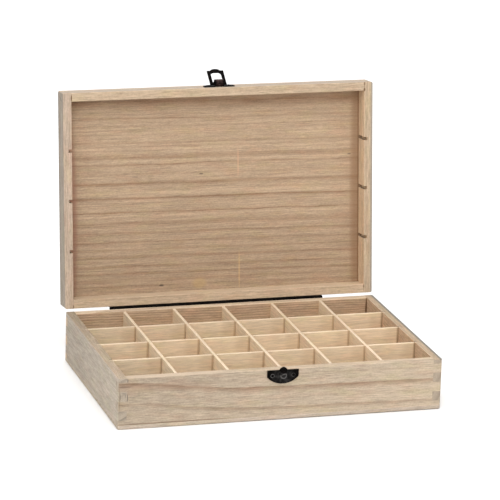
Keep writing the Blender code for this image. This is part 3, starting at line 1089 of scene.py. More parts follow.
    def divider_board(self, node: str, grain: Grain, wood: RawWood) -> None:
        """Make a divider that stands on the bottom, touches the boards and has soft edges.

        Args:
            node: The solid that it replaces.
            grain: Which way its fibres run, and so which way it lies.
            wood: Its wood.
        """
        mesh = self.shop.solid(node, Body.BASE)
        self.draw_tight(mesh, 2, [(self.panel + self.slack, self.panel + self.tight)])
        if grain is Grain.DEPTH:
            reach = self.depth / 2 - self.board
            self.draw_tight(mesh, 1, [(reach - self.slack, reach - self.tight)])
        axis = 0 if grain is Grain.WIDTH else 1
        top = max(vert.co.z for vert in mesh.verts)

        def on_top(edge: bmesh.types.BMEdge) -> bool:
            """Say whether an edge runs along the divider's top.

            Args:
                edge: An edge of the divider.

            Returns:
                Whether it does.
            """
            first, second = (vert.co for vert in edge.verts)
            level = all(abs(end.z - top) < NEAR for end in (first, second))
            return level and abs(first[axis] - second[axis]) > self.shortest_edge

        round_edges(mesh, list(filter(on_top, mesh.edges)), self.divider_radius, 2)
        self.finish(mesh, node, Body.BASE, grain, "divider_wood", wood)

    def finish(
        self, mesh: Mesh, node: str, body: Body, grain: Grain, slot: str, wood: RawWood
    ) -> None:
        """Give a piece its wood, shade only its roundings smooth, and add it.

        Args:
            mesh: Its mesh in the closed box. It is used up.
            node: The solid that it replaces.
            body: The body that it rides on.
            grain: Which way its fibres run.
            slot: The record's material slot.
            wood: Its wood.
        """
        mesh.normal_update()
        for face in mesh.faces:
            face.smooth = max(abs(part) for part in face.normal) < SQUARE_ON
        turn = Matrix.Rotation(grain.value, 4, "Z")
        low, high = extremes([turn @ vert.co for vert in mesh.verts])
        turn = turn @ self.shop.hinging.opening(body).inverted()
        material = wood.material(node, turn, low, high)
        self.shop.add(mesh, node, body, slot, material)

    def front_wood(self) -> RawWood:
        """Return the front board's wood, with its growth lines and marks as photographed.

        Returns:
            The wood.
        """
        face, rim = -self.depth / 2 * MILLIMETRES, self.base_height * MILLIMETRES
        return replace(
            self.board_wood,
            bands=(
                Band(2.6, 1.0, 1.4, 0.25),
                Band(13.6, 3.5, 1.6, 0.60),
                Band(24.0, 2.0, 3.0, 0.12),
                Band(35.4, 6.0, 1.3, 0.95),
                Band(41.5, 2.0, 1.5, 0.12),
                Band(48.6, 2.0, 1.0, 0.22),
            ),
            warp=Warp(fall=10.5, start=-165.0, end=-40.0, slope=-0.013),
            ring_strength=0.06,
            drift=(0.83, 1.09),
            lean=(1.13, 0.97),
            stack=rim,
            end=(0.86, 0.87, 0.89),
            facets=(Facet((0.0, 0.0, 1.0), (1.09, 1.07, 1.04)),),
            marks=(
                Mark((-125.0, face, 42.5), (65.0, 3.0, 6.0), 0.30, (0.34, 0.22, 0.15)),
                Mark((-115.0, face, 5.0), (75.0, 3.0, 1.0), 0.75, (0.20, 0.13, 0.08)),
                Mark((-163.0, face, 44.6), (9.0, 3.0, 1.0), 0.75, (0.20, 0.13, 0.09)),
                Mark((-160.3, face, 33.0), (0.7, 3.0, 5.0), 0.80, self.joint),
                Mark((-160.3, face, 51.0), (0.7, 3.0, 2.6), 0.80, self.joint),
                Mark((-169.4, face, 32.0), (2.2, 0.5, 20.0), 0.60, self.corner),
                Mark((-130.0, -110.0, rim), (95.0, 12.0, 0.5), 0.45, (0.66, 0.53, 0.40)),
                Mark((160.0, -113.2, rim), (60.0, 1.8, 1.0), 0.55, (0.25, 0.20, 0.15)),
            ),
            seed=0.1,
        )

    def base_woods(self) -> dict[str, RawWood]:
        """Return the woods of the base's four boards, by side.

        Returns:
            The woods.
        """
        face, rim = -self.depth / 2 * MILLIMETRES, self.base_height * MILLIMETRES
        return {
            "front": self.front_wood(),
            "back": replace(
                self.back_wood,
                tone=(0.56, 0.40, 0.265),
                late=(0.40, 0.31, 0.27),
                ring=2.6,
                pith=(60.0, 200.0),
                # The rim's top painted paler and cooler: a painted highlight on the rim.
                facets=(Facet((0.0, 0.0, 1.0), (1.10, 1.21, 1.32)),),
                # Painted shade down the inner corner where the back meets the right board.
                marks=(Mark((160.6, 105.3, 40.0), (1.8, 1.5, 18.0), 0.85, self.glue_and_corner_shade),),
                seed=90.0,
            ),
            "left": replace(
                self.board_wood,
                tone=(0.420, 0.355, 0.283),
                facets=(Facet((0.0, 0.0, 1.0), (0.93, 0.87, 0.80)),),
                ring_strength=0.12,
                pith=(60.0, -200.0),
                # Darker towards the back: painted light falloff along the left side.
                drift=(1.05, 0.79),
                reach=114.0,
                end=(1.02, 1.0, 0.97),
                marks=(
                    Mark((face, 167.5, 34.5), (3.0, 0.6, 4.0), 0.60, self.finger),
                    Mark((face, 164.5, 38.0), (3.0, 2.6, 0.6), 0.60, self.finger),
                    Mark((face, 162.2, 35.5), (3.0, 0.6, 3.0), 0.50, self.finger),
                    Mark((face, 164.5, 49.2), (3.0, 5.0, 0.6), 0.60, self.finger),
                    Mark((face, 169.4, 32.0), (0.5, 2.2, 20.0), 0.60, self.corner),
                ),
                seed=170.0,
            ),
            "right": replace(
                self.board_wood,
                end=(0.84, 0.85, 0.87),
                facets=(
                    Facet((0.0, 0.0, 1.0), (0.91, 0.86, 0.80)),
                    # The inner face painted lighter and pinker: painted light.
                    Facet((0.0, 1.0, 0.0), (1.23, 1.10, 1.00)),
                ),
                marks=(
                    # A darker grey band along the rim's outer edge.
                    Mark((0.0, -170.0, rim), (400.0, 3.6, 1.2), 0.85, self.rim_edge_grey),
                    # Painted shade down the inner corner where the right board meets the back.
                    Mark((105.3, -160.8, 40.0), (2.0, 1.5, 16.0), 0.80, self.glue_and_corner_shade),
                ),
                seed=230.0,
            ),
        }

    def lid_woods(self) -> dict[str, RawWood]:
        """Return the woods of the lid's four boards, by side.

        Returns:
            The woods.
        """
        joints = self.lid_joints(Grain.WIDTH, -1.0) + self.lid_joints(Grain.WIDTH, 1.0)
        rim = self.lid_rim * MILLIMETRES
        return {
            "front": replace(
                self.lid_wood,
                facets=(
                    Facet((0.0, -1.0, 0.0), (0.82, 0.88, 1.00)),
                    # The left end face painted cooler and darker: painted shade of the lid's left
                    # side.
                    Facet((-1.0, 0.0, 0.0), (0.66, 0.72, 0.80)),
                ),
                marks=joints,
                seed=310.0,
            ),
            "back": replace(
                self.lid_wood,
                tone=(0.515, 0.39, 0.27),
                drift=(0.97, 1.12),
                ring=6.0,
                # The left end face painted cooler and darker: painted shade of the lid's left side.
                facets=(Facet((-1.0, 0.0, 0.0), (0.66, 0.72, 0.80)),),
                marks=joints,
                seed=390.0,
            ),
            "left": replace(
                self.lid_wood,
                facets=(
                    # The outer face painted cooler and darker: painted shade of the lid's left
                    # side.
                    Facet((0.0, 1.0, 0.0), (0.62, 0.69, 0.80)),
                    Facet((0.0, 0.0, -1.0), (0.96, 0.98, 1.08)),
                ),
                marks=self.groove_shades(1.0) + self.lid_joints(Grain.DEPTH, -1.0),
                seed=470.0,
            ),
            "right": replace(
                self.lid_wood,
                # The inner face painted lighter: painted light.
                facets=(Facet((0.0, 1.0, 0.0), (1.36, 1.33, 1.29)),),
                marks=(
                    *self.groove_shades(-1.0),
                    *self.lid_joints(Grain.DEPTH, 1.0),
                    Mark((0.0, -170.0, rim), (400.0, 2.8, 1.2), 0.60, (0.25, 0.24, 0.22)),
                ),
                seed=530.0,
            ),
        }

    def bottom_wood(self) -> RawWood:
        """Return the bottom panel's wood, paler along its front edge, with a painted contact shadow
        at its foot.

        Returns:
            The wood.
        """
        # A painted contact shadow along the front foot.
        contact_shadow = Mark((70.0, -114.5, 0.0), (260.0, 1.5, 1.3), 0.65, (0.21, 0.18, 0.145))
        pale = Facet((0.0, -1.0, 0.0), (1.08, 1.12, 1.21))
        return replace(self.board_wood, facets=(pale,), marks=(contact_shadow,), seed=610.0)

    def top_wood(self) -> RawWood:
        """Return the lid panel's wood: its growth lines and marks as photographed, and painted
        shade at its edges.

        Returns:
            The wood.
        """
        under = (self.lid_top - self.panel - self.slack) * MILLIMETRES
        return replace(
            self.panel_wood,
            across=Across.WIDTH,
            bands=(
                # Partly a real dark band, partly painted shadow under the lid's front board.
                Band(-99.0, 6.0, 9.0, 0.95),
                Band(-81.0, 1.2, 1.6, 0.40),
                Band(-73.0, 1.2, 1.6, 0.22),
                Band(-55.0, 3.0, 1.0, 0.32),
                Band(-49.0, 1.5, 2.0, -0.35),
                Band(-40.0, 3.5, 2.5, 0.55),
                Band(-36.0, 1.0, 1.0, -0.40),
                Band(-32.5, 1.2, 2.0, 0.65),
                Band(-23.0, 1.5, 2.5, 0.18),
                Band(-11.5, 3.0, 3.0, 0.75),
                Band(-1.0, 5.0, 3.0, -0.35),
                Band(3.5, 1.2, 3.4, 0.80),
                Band(19.0, 1.4, 1.0, 0.90),
                Band(22.5, 1.5, 2.5, -0.30),
                Band(31.0, 3.0, 3.0, 0.50),
                Band(40.5, 1.2, 3.0, 0.55),
                Band(51.0, 2.0, 3.0, 0.35),
                Band(59.0, 1.4, 2.5, 0.35),
                Band(66.5, 1.6, 3.0, 0.45),
                Band(77.0, 1.4, 3.0, 0.55),
                Band(84.5, 1.5, 2.5, 0.45),
                Band(91.0, 1.5, 2.5, 0.35),
                Band(98.5, 1.5, 3.0, 0.35),
            ),
            warp=Warp(slope=0.0125),
            fibre=0.75,
            thread=0.75,
            streak=48.0,
            # Painted shade: darker to the left and towards the back edge.
            drift=(0.95, 1.03),
            lean=(1.00, 0.88),
            pith=(-500.0, 160.0),
            ring=4.2,
            ring_strength=0.22,
            sway=3.6,
            end=(0.45, 0.50, 0.56),
            marks=(
                Mark((-60.0, 98.0, under), (3.2, 1.3, 2.0), 0.95, (0.10, 0.07, 0.05)),
                Mark((-15.5, -20.5, under), (3.0, 1.1, 2.0), 0.85),
                Mark((150.0, -35.0, under), (2.6, 1.0, 2.0), 0.75),
                Mark((-88.0, -20.0, under), (3.5, 1.2, 2.0), 0.50, (0.24, 0.17, 0.12)),
                Mark((25.4, -31.5, under), (1.2, 20.0, 2.0), 0.50, (0.64, 0.38, 0.24)),
                Mark((26.4, 85.5, under), (1.1, 27.0, 2.0), 0.45, (0.64, 0.41, 0.19)),
                Mark((-18.0, 97.5, under), (10.0, 7.0, 2.0), 0.30, (0.54, 0.36, 0.13)),
                # Painted shade along the left and right edges, and a painted dark crevice and shade
                # where the panel meets the right board.
                Mark((-160.0, 25.0, under), (11.0, 140.0, 2.0), 0.62, (0.31, 0.145, 0.10)),
                Mark((160.0, 10.0, under), (11.0, 130.0, 2.0), 0.35, (0.34, 0.20, 0.13)),
                Mark((160.4, 0.0, under), (1.6, 300.0, 2.0), 0.62, self.glue_and_corner_shade),
                Mark((160.4, 0.0, under), (11.5, 400.0, 2.0), 0.50, self.shade),
            ),
            seed=690.0,
        )

    def cell_shade(
        self, cell: int, back: float, half: float, strength: float, tint: Colour
    ) -> Mark:
        """Return a painted shade across the long dividers, a little back from where a cell ends."""
        place = (self.cell_end(cell) - back, 0.0, self.cell_level)
        return Mark(place, (half, *self.cell_reach), strength, tint)

    def dividers(self) -> None:
        """Make the dividers, with painted shade on the long ones where their cells end."""
        ends = [
            self.cell_shade(cell, back, half, strength, self.cell_end_shade)
            for cell in range(self.cells)
            for back, half, strength in ((1.0, 1.5, 0.55), (4.0, 15.0, 0.20))
        ]
        # A crisp line of painted shade where the last cell meets the right board.
        ends.append(self.cell_shade(self.cells - 1, 0.0, 1.3, 0.50, self.glue_and_corner_shade))
        # The long dividers grow brighter to the right: painted light across the cells.
        drifts = {1: (0.94, 1.11), 2: (0.98, 1.11), 3: (0.90, 1.09)}
        for index, drift in drifts.items():
            seed = self.long_seed + self.seed_step * index
            wood = replace(self.divider_wood, drift=drift, marks=tuple(ends), seed=seed)
            self.divider_board(f"long_divider_{index}", Grain.WIDTH, wood)
        for index in range(1, self.cells):
            wood = replace(self.divider_wood, seed=self.short_seed + self.seed_step * index)
            self.divider_board(f"short_divider_{index}", Grain.DEPTH, wood)

    def build(self) -> None:
        """Make every wooden piece."""
        for body, woods in ((Body.BASE, self.base_woods()), (Body.LID, self.lid_woods())):
            for side, wood in woods.items():
                self.frame_board(body, side, wood)
        self.flat_panel("bottom_panel", Body.BASE, self.bottom_wood())
        self.flat_panel("lid_top_panel", Body.LID, self.top_wood())
        self.dividers()


def end_faces(faces: Faces, mesh: Mesh) -> Faces:
    """Push a strip's end out in place and return its new faces.

    Args:
        faces: The strip's end.
        mesh: The mesh that the strip is part of.

    Returns:
        The new end.
    """
    edges = {edge for face in faces for edge in face.edges}
    grown = bmesh.ops.extrude_face_region(mesh, geom=[*faces, *edges])
    return [item for item in grown["geom"] if isinstance(item, bmesh.types.BMFace)]


def corners_of(faces: Faces) -> Verts:
    """Return the corners of some faces, each once."""
    return list(dict.fromkeys(vert for face in faces for vert in face.verts))


def shade_smooth(mesh: Mesh) -> None:
    """Shade a mesh smooth, except across its sharp edges.

    Args:
        mesh: The mesh to change.
    """
    for face in mesh.faces:
        face.smooth = True
    for edge in mesh.edges:
        edge.smooth = edge.calc_face_angle(0.0) < SHARP


def soften(mesh: Mesh, radius: float, steps: int) -> None:
    """Round every sharp edge of a metal piece and shade the rest smooth.

    Args:
        mesh: The mesh to change.
        radius: How far the rounding starts from an edge.
        steps: How many faces it has across.
    """
    edges = [edge for edge in mesh.edges if edge.calc_face_angle(0.0) > SHARP]
    round_edges(mesh, edges, radius, steps)
    shade_smooth(mesh)


@dataclass
class Ironmongery:
    """The hinge, the latch and their nails, bent and turned in steel and painted black."""

    shop: Workshop
    step: float = math.radians(7.5)
    face: float = 0.1148
    leaf: float = 0.0008
    knuckle_radius: float = 0.0018
    fit: float = 0.0003
    stop_lip: float = 0.0022
    stop_bend: float = 0.0003
    base_edge: float = 0.0530
    lid_edge: float = 0.0573
    base_shift: float = 0.0002
    lid_shift: float = 0.0011
    loop_radius: float = 0.0038
    loop_width: float = 0.0094
    loop_mouth: float = 0.0003
    hook_width: float = 0.0070
    hook_front: float = -0.1199
    hook_top: float = 0.0567
    hook_low: float = 0.0475
    hook_bulge: float = 0.0030
    hook_bulge_turn: float = math.radians(105)
    hook_columns: int = 10
    hook_drop: float = 0.0021
    hook_setback: float = 0.0010
    hook_steps: int = 6
    nose_reach: float = 1.4
    nose_rise: float = 0.75
    nose_share: float = 0.97
    knuckle_growth: float = 0.00012
    pin_sides: int = 24
    edge_radius: float = 0.00013
    hasp_radius: float = 0.00032
    head_radius: float = 0.0015
    head_height: float = 0.00075
    head_sink: float = 0.00022
    dome_steps: int = 6
    shank_radius: float = 0.0006
    tip_length: float = 0.0012
    nail_sides: int = 28
    nail_offset: float = 0.011
    nail_drop: float = 0.0058
    nose_highlight: float = 0.0007
    middle_drop: float = 0.0055
    crest_drop: float = 0.0012

    def curl(self, mesh: Mesh, faces: Faces, centre: Vector, turn: float) -> Faces:
        """Bend a strip on about an axis along X.

        Args:
            mesh: The mesh that the strip is part of.
            faces: The strip's end.
            centre: A point on the axis.
            turn: The angle of the bend.

        Returns:
            The strip's new end.
        """
        steps = max(1, math.ceil(abs(turn) / self.step))
        matrix = Matrix.Rotation(turn / steps, 3, "X")
        for _ in range(steps):
            faces = end_faces(faces, mesh)
            bmesh.ops.rotate(mesh, cent=centre, matrix=matrix, verts=corners_of(faces))
        return faces

    def run_on(self, mesh: Mesh, faces: Faces, way: Vector, steps: int = 1) -> Faces:
        """Lengthen a strip straight on, in some steps, and return its new end.

        Args:
            mesh: The mesh that the strip is part of.
            faces: The strip's end.
            way: How far it goes, and which way.
            steps: In how many steps.

        Returns:
            The strip's new end.
        """
        for _ in range(steps):
            faces = end_faces(faces, mesh)
            bmesh.ops.translate(mesh, vec=way / steps, verts=corners_of(faces))
        return faces

    def flat_sheet(
        self, node: str, body: Body, outside: float, root: float, beyond: Callable[[Vector], bool]
    ) -> tuple[Mesh, Faces]:
        """Take the bent strips off a solid, down to its flat sheet.

        Args:
            node: The solid.
            body: Its body.
            outside: Where the sheet's outer face lies in Y.
            root: The height at which its strips start to bend.
            beyond: The test of a point on a strip past its root.

        Returns:
            The flat sheet, and the end faces that its strips grow from.
        """
        mesh = self.shop.solid(node, body)
        way = math.copysign(1.0, outside)
        clear = outside + way * 2.0 * NEAR
        for place, normal, clear_outer in (
            ((0, clear, 0), (0, way, 0), True),
            ((0, 0, root), (0, 0, 1), False),
        ):
            bmesh.ops.bisect_plane(
                mesh,
                geom=[*mesh.verts, *mesh.edges, *mesh.faces],
                dist=CUT,
                plane_co=place,
                plane_no=normal,
                clear_outer=clear_outer,
            )
        strip = [vert for vert in mesh.verts if beyond(vert.co)]
        bmesh.ops.delete(mesh, geom=strip, context="VERTS")
        join_flats(mesh)
        rims = [edge for edge in mesh.edges if edge.is_boundary]
        bmesh.ops.holes_fill(mesh, edges=rims, sides=0)
        bmesh.ops.recalc_face_normals(mesh, faces=mesh.faces)
        ends = [
            face
            for face in mesh.faces
            if all(abs(vert.co.z - root) < NEAR for vert in face.verts) and len(face.verts) == 4
        ]
        return mesh, ends

    def close_up(self, ends: Faces) -> None:
        """Widen the roots of the knuckles, so that they nearly touch once rolled.

        Args:
            ends: The faces that the knuckles grow from.
        """
        for end in ends:
            middle = end.calc_center_median().x
            for vert in end.verts:
                vert.co.x += math.copysign(self.knuckle_growth, vert.co.x - middle)

    def base_leaf(self, paint: BlackPaint) -> None:
        """Make the hinge's leaf on the base, with its knuckles rolled round the pin.

        Args:
            paint: Its paint.
        """
        axis = self.shop.hinging.lid_axis
        outside = self.face + self.leaf
        mesh, ends = self.flat_sheet(
            "hinge_base_leaf", Body.BASE, outside, axis.z, lambda point: point.z > axis.z + NEAR
        )
        self.close_up(ends)
        mouth = self.knuckle_radius - self.leaf - self.fit
        for end in ends:
            self.curl(mesh, [end], axis, math.acos(mouth / self.knuckle_radius) - math.tau)
        self.finish(mesh, "hinge_base_leaf", Body.BASE, "hinge_metal", paint)

    def lid_leaf(self, paint: BlackPaint) -> None:
        """Make the hinge's leaf on the lid, whose knuckles end in the lips that stop the lid.

        Args:
            paint: Its paint.
        """
        axis, opening = self.shop.hinging.lid_axis, self.shop.hinging.lid_angle
        outside = self.face + self.leaf
        mesh, ends = self.flat_sheet(
            "hinge_lid_leaf", Body.LID, outside, axis.z, lambda point: point.z < axis.z - NEAR
        )
        self.close_up(ends)
        reach = self.knuckle_radius + self.stop_bend
        sheet_outside = self.knuckle_radius - self.leaf
        bend = opening - math.acos((self.fit - sheet_outside - self.stop_bend) / reach)
        centre = axis + reach * Vector((0, math.cos(bend), math.sin(bend)))
        rise = opening - math.pi / 2
        lip = self.stop_lip * Vector((0, math.cos(rise), math.sin(rise)))
        for end in ends:
            faces = self.curl(mesh, [end], axis, math.pi + bend)
            faces = self.curl(mesh, faces, centre, rise - bend - math.pi / 2)
            self.run_on(mesh, faces, lip)
        self.finish(mesh, "hinge_lid_leaf", Body.LID, "hinge_metal", paint)

    def pin(self, paint: BlackPaint) -> None:
        """Turn the hinge's pin, with eased ends.

        Args:
            paint: Its paint.
        """
        low, high = self.extent("hinge_pin", Body.BASE)
        middle = (low + high) / 2
        place = Matrix.Translation(middle) @ Matrix.Rotation(math.pi / 2, 4, "Y")
        mesh = bmesh.new()
        radius = (high.z - low.z) / 2
        bmesh.ops.create_cone(
            mesh,
            cap_ends=True,
            segments=self.pin_sides,
            radius1=radius,
            radius2=radius,
            depth=high.x - low.x,
            matrix=place,
        )
        self.finish(mesh, "hinge_pin", Body.BASE, "hinge_metal", paint)

    def lid_plate(self, paint: BlackPaint) -> None:
        """Make the latch's plate on the lid, with the loop that the hasp turns in.

        Args:
            paint: Its paint.
        """
        axis = Vector((0, -self.face - self.loop_radius, self.lid_edge + self.loop_radius))
        half = self.loop_width / 2 + self.fit / 2

        def beyond(point: Vector) -> bool:
            """Say whether a place is past the axis, within the loop's width."""
            return abs(point.x - self.lid_shift) < half and point.z < axis.z - NEAR

        outside = -self.face - self.leaf
        mesh, ends = self.flat_sheet("latch_lid_plate", Body.LID, outside, axis.z, beyond)
        ends = [end for end in ends if abs(end.calc_center_median().x - self.lid_shift) < NEAR]
        mouth = self.loop_radius - self.leaf - self.loop_mouth
        wrap = math.tau - math.acos(mouth / self.loop_radius)
        self.curl(mesh, ends, axis, -wrap)
        self.finish(mesh, "latch_lid_plate", Body.LID, "latch_metal", paint)

    def base_plate(self, paint: BlackPaint) -> None:
        """Make the latch's plate on the base, with its pressed hook.

        Args:
            paint: Its paint.
        """
        outside = -self.face - self.leaf
        mesh, ends = self.flat_sheet(
            "latch_base_plate",
            Body.BASE,
            outside,
            self.base_edge,
            lambda point: point.z > self.base_edge + NEAR,
        )
        ends = [
            end
            for end in ends
            if abs(end.calc_center_median().x - self.base_shift) < self.hook_width / 4
        ]
        plate = set(mesh.verts)
        ends = self.columned(mesh, ends)
        bend = (-self.face - self.hook_front) / 2
        over = Vector((0, self.hook_front + bend, self.hook_top - bend))
        under = Vector((0, self.hook_front + self.hook_bulge, self.hook_low + self.hook_bulge))
        ends = self.run_on(mesh, ends, Vector((0, 0, over.z - self.base_edge)))
        ends = self.curl(mesh, ends, over, math.pi)
        ends = self.run_on(mesh, ends, Vector((0, 0, under.z - over.z)), self.hook_steps)
        self.curl(mesh, ends, under, self.hook_bulge_turn)
        self.press_hook([vert for vert in mesh.verts if vert not in plate])
        self.finish(mesh, "latch_base_plate", Body.BASE, "latch_metal", paint)

    def columned(self, mesh: Mesh, ends: Faces) -> Faces:
        """Split a strip's end into columns across its width and return them.

        Args:
            mesh: The mesh that the strip is part of.
            ends: The strip's end.

        Returns:
            The columns, from which the strip grows on.
        """
        edges = [
            edge
            for face in ends
            for edge in face.edges
            if abs(edge.verts[0].co.x - edge.verts[1].co.x) > self.hook_width / 2
        ]
        bmesh.ops.subdivide_edges(mesh, edges=edges, cuts=self.hook_columns - 1)
        half = self.hook_width / 2 + NEAR
        return [
            face
            for face in mesh.faces
            if all(
                abs(vert.co.z - self.base_edge) < NEAR and abs(vert.co.x - self.base_shift) < half
                for vert in face.verts
            )
        ]

    def press_hook(self, verts: Verts) -> None:
        """Dish the hook across its width and round its nose, as a press leaves it.

        Args:
            verts: The hook's points.
        """
        half = self.hook_width / 2
        outside = -self.face - self.leaf

        def clamped(value: float) -> float:
            """Return a value held between 0 and 1."""
            return min(max(value, 0.0), 1.0)

        for vert in verts:
            share = min(abs(vert.co.x - self.base_shift) / half, 1.0)
            height = clamped((vert.co.z - self.base_edge) / (self.hook_top - self.base_edge))
            front = clamped((outside - vert.co.y) / (outside - self.hook_front))
            low = clamped(1.0 - (vert.co.z - self.hook_low) / (self.nose_reach * half))
            arc = 1.0 - math.sqrt(1.0 - self.nose_share * share**2)
            vert.co.z -= self.hook_drop * share**2 * height
            vert.co.y += self.hook_setback * share**2 * front
            vert.co.z += self.nose_rise * half * arc * low * front

    def hasp(self, paint: BlackPaint) -> None:
        """Make the hasp, a stamped frame with soft edges.

        Args:
            paint: Its paint.
        """
        mesh = self.shop.solid("latch_hasp", Body.HASP)
        soften(mesh, self.hasp_radius, 3)
        self.finish(mesh, "latch_hasp", Body.HASP, "latch_metal", paint, softened=True)

    def nail(self, node: str, body: Body, slot: str, paint: BlackPaint) -> None:
        """Turn a nail with a domed head.

        Args:
            node: The solid that it replaces.
            body: The body that it rides on.
            slot: The record's material slot.
            paint: Its paint.
        """
        low, high = self.extent(node, body)
        side = 1.0 if high.y > 0 else -1.0
        head = high.y if side > 0 else low.y
        tip = low.y if side > 0 else high.y
        length = abs(head - tip) - self.head_sink
        under = length - self.head_height
        mesh = bmesh.new()
        shank = [(0.0, 0.0), (self.shank_radius, self.tip_length), (self.shank_radius, under)]
        steps = self.dome_steps
        angles = [math.pi / 2 * index / steps for index in range(steps + 1)]
        dome = [
            (self.head_radius * math.cos(angle), under + self.head_height * math.sin(angle))
            for angle in angles
        ]
        points = [mesh.verts.new((radius, 0, height)) for radius, height in shank + dome]
        edges = [mesh.edges.new(pair) for pair in zip(points, points[1:])]
        bmesh.ops.spin(
            mesh,
            geom=[*points, *edges],
            cent=(0, 0, 0),
            axis=(0, 0, 1),
            angle=math.tau,
            steps=self.nail_sides,
            use_merge=True,
        )
        bmesh.ops.remove_doubles(mesh, verts=mesh.verts, dist=WELD)
        bmesh.ops.recalc_face_normals(mesh, faces=mesh.faces)
        centre = Vector(((low.x + high.x) / 2, tip, (low.z + high.z) / 2))
        place = Matrix.Translation(centre) @ Matrix.Rotation(-side * math.pi / 2, 4, "X")
        bmesh.ops.transform(mesh, matrix=place, verts=mesh.verts)
        shade_smooth(mesh)
        self.finish(mesh, node, body, slot, paint, softened=True)

    def extent(self, node: str, body: Body) -> tuple[Vector, Vector]:
        """Return a solid's lowest and highest corners in the closed box.

        Args:
            node: The solid's name.
            body: The body that it rides on.

        Returns:
            The two corners.
        """
        mesh = self.shop.solid(node, body)
        corners = extremes([vert.co for vert in mesh.verts])
        mesh.free()
        return corners

    def finish(
        self,
        mesh: Mesh,
        node: str,
        body: Body,
        slot: str,
        paint: BlackPaint,
        softened: bool = False,
    ) -> None:
        """Ease a piece's edges unless that is done, paint it and add it.

        Args:
            mesh: Its mesh in the closed box. It is used up.
            node: The solid that it replaces.
            body: The body that it rides on.
            slot: The record's material slot.
            paint: Its paint.
            softened: Whether its edges are eased already.
        """
        bmesh.ops.recalc_face_normals(mesh, faces=mesh.faces)
        if not softened:
            soften(mesh, self.edge_radius, 2)
        closing = self.shop.hinging.opening(body).inverted()
        self.shop.add(mesh, node, body, slot, paint.material(f"{node}_paint", closing))

    def base_highlights(self) -> tuple[PaintedHighlight, ...]:
        """Return the base plate's painted highlights: round its nose and nails, a sheen on its
        middle, none on its crest.

        Returns:
            The rubs.
        """

        def at(across: float, height: float) -> Vector:
            """Return a place on the base's plate, across from its middle."""
            return Vector((self.base_shift + across, 0, height))

        nails = self.base_edge - self.nail_drop
        return (
            # Rings of painted highlight round the nose and the nails, a painted sheen over the
            # middle, and none on the crest.
            PaintedHighlight(at(self.nose_highlight, self.hook_low - self.nose_highlight), 2.9, 0.8, 1.1),
            PaintedHighlight(at(-self.nail_offset, nails), 1.7, 0.6, 1.1),
            PaintedHighlight(at(self.nail_offset, nails), 1.7, 0.6, 0.4),
            PaintedHighlight(at(0.0, self.base_edge - self.middle_drop), 0.0, 14.0, 0.20),
            PaintedHighlight(at(0.0, self.hook_top - self.crest_drop), 0.0, 6.5, -0.6),
        )

    def build(self) -> None:
        """Make every metal piece."""
        plain = BlackPaint()
        for make in (self.base_leaf, self.lid_leaf, self.pin):
            make(plain)
        self.base_plate(replace(plain, highlights=self.base_highlights()))
        loop = Vector((self.lid_shift, 0, self.lid_edge + self.loop_radius))
        # A painted highlight on the loop, brown like the part of it that is lit.
        highlights = (PaintedHighlight(loop, 0.0, 6.0, 0.75),)
        self.lid_plate(replace(plain, highlight_colour=(0.085, 0.052, 0.048), highlights=highlights))
        self.hasp(plain)
        for node in self.shop.nodes:
            if "_nail_" not in node:
                continue
            body = Body.BASE if node.startswith("base_") else Body.LID
            slot = "hinge_metal" if "_leaf_" in node else "latch_metal"
            self.nail(node, body, slot, plain)


@dataclass(frozen=True)
class Lamp:
    """A square soft light: its name, place, size in metres, power in watts and colour."""

    name: str
    place: Triple
    size: float
    power: float
    colour: Colour = (1.0, 1.0, 1.0)


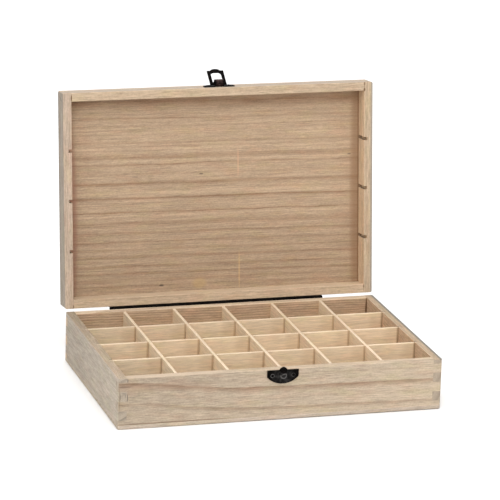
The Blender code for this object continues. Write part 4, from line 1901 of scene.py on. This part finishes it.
@dataclass
class Studio:
    """A pale floor, soft light and the camera."""

    eye: Triple = (-0.95963, -3.18900, 1.10442)
    forward: Triple = (0.27586617, 0.92048624, -0.27677234)
    right: Triple = (0.95992386, -0.27864257, 0.03007479)
    lens: float = 242.7
    film_width: float = 36.0
    sight: float = 50.0
    floor_reach: float = 30.0
    floor_colour: Colour = (0.92, 0.92, 0.92)
    floor_roughness: float = 0.9
    floor_sheen: float = 0.1
    surround: float = 0.74
    aim: Triple = (0.0, 0.0, 0.08)
    lamps: tuple[Lamp, ...] = (
        Lamp("overhead", (-0.2, -0.7, 2.2), 1.8, 30.0),
        Lamp("key", (-1.1, -2.6, 1.7), 1.0, 19.0, (1.0, 0.97, 0.93)),
        Lamp("fill", (-2.6, -0.6, 0.9), 1.2, 6.0, (0.82, 0.93, 1.0)),
        Lamp("rear", (0.3, 2.2, 2.4), 2.2, 30.0),
    )

    def camera(self) -> None:
        """Set the camera where the photograph was taken."""
        data = bpy.data.cameras.new("camera")
        data.lens = self.lens
        data.sensor_width = self.film_width
        data.clip_end = self.sight
        camera = linked("camera", data)
        back = -Vector(self.forward)
        right = Vector(self.right)
        place = Matrix((right, back.cross(right), back)).transposed().to_4x4()
        place.translation = Vector(self.eye)
        camera.matrix_world = place
        bpy.context.scene.camera = camera

    def floor(self) -> None:
        """Lay the floor."""
        mesh = bmesh.new()
        bmesh.ops.create_grid(mesh, x_segments=1, y_segments=1, size=self.floor_reach)
        material = Graph("floor").finish(
            Base_Color=(*self.floor_colour, 1.0),
            Roughness=self.floor_roughness,
            Specular_IOR_Level=self.floor_sheen,
        )
        made_of(mesh, "floor", material)

    def hang(self, lamp: Lamp) -> None:
        """Hang a lamp so that it points at the box.

        Args:
            lamp: The lamp.
        """
        data = bpy.data.lights.new(lamp.name, "AREA")
        data.shape = "SQUARE"
        data.size = lamp.size
        data.energy = lamp.power
        data.color = lamp.colour
        light = linked(lamp.name, data)
        way = Vector(self.aim) - Vector(lamp.place)
        turn = way.to_track_quat("-Z", "Y").to_matrix().to_4x4()
        light.matrix_world = Matrix.Translation(lamp.place) @ turn

    def light(self) -> None:
        """Light the box from overhead, behind and beside the camera, in a pale surround."""
        scene = bpy.context.scene
        world = bpy.data.worlds.new("studio")
        world.use_nodes = True
        background = world.node_tree.nodes["Background"]
        background.inputs["Color"].default_value = (1.0, 1.0, 1.0, 1.0)
        background.inputs["Strength"].default_value = self.surround
        scene.world = world
        scene.view_settings.view_transform = "Standard"
        for lamp in self.lamps:
            self.hang(lamp)

    def build(self) -> None:
        """Set up the whole studio."""
        self.camera()
        self.floor()
        self.light()
        LOG.info("studio: camera, floor and lights")


def main() -> None:
    """Build the looks of the box."""
    logging.basicConfig(level=logging.INFO, format="%(name)s: %(message)s")
    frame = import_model()
    shop = Workshop(frame["nodes"], Hinging.of(frame["joints"]))
    Studio().build()
    Carpentry(
        shop,
        board_wood=RawWood(tone=(0.473, 0.378, 0.280)),
        lid_wood=RawWood(tone=(0.490, 0.370, 0.255), ring_strength=0.25),
        back_wood=RawWood(tone=(0.53, 0.375, 0.245), ring_strength=0.6),
        panel_wood=RawWood(tone=(0.470, 0.338, 0.226)),
        divider_wood=RawWood(
            tone=(0.79, 0.632, 0.446),
            ring_strength=0.16,
            ring=5.0,
            fibre=0.65,
            thread=0.35,
            fleck=0.12,
            arris=0.05,
            facets=(Facet((0.0, 0.0, 1.0), (0.88, 0.89, 0.93)),),
        ),
    ).build()
    Ironmongery(shop).build()


if __name__ == "__main__":
    main()
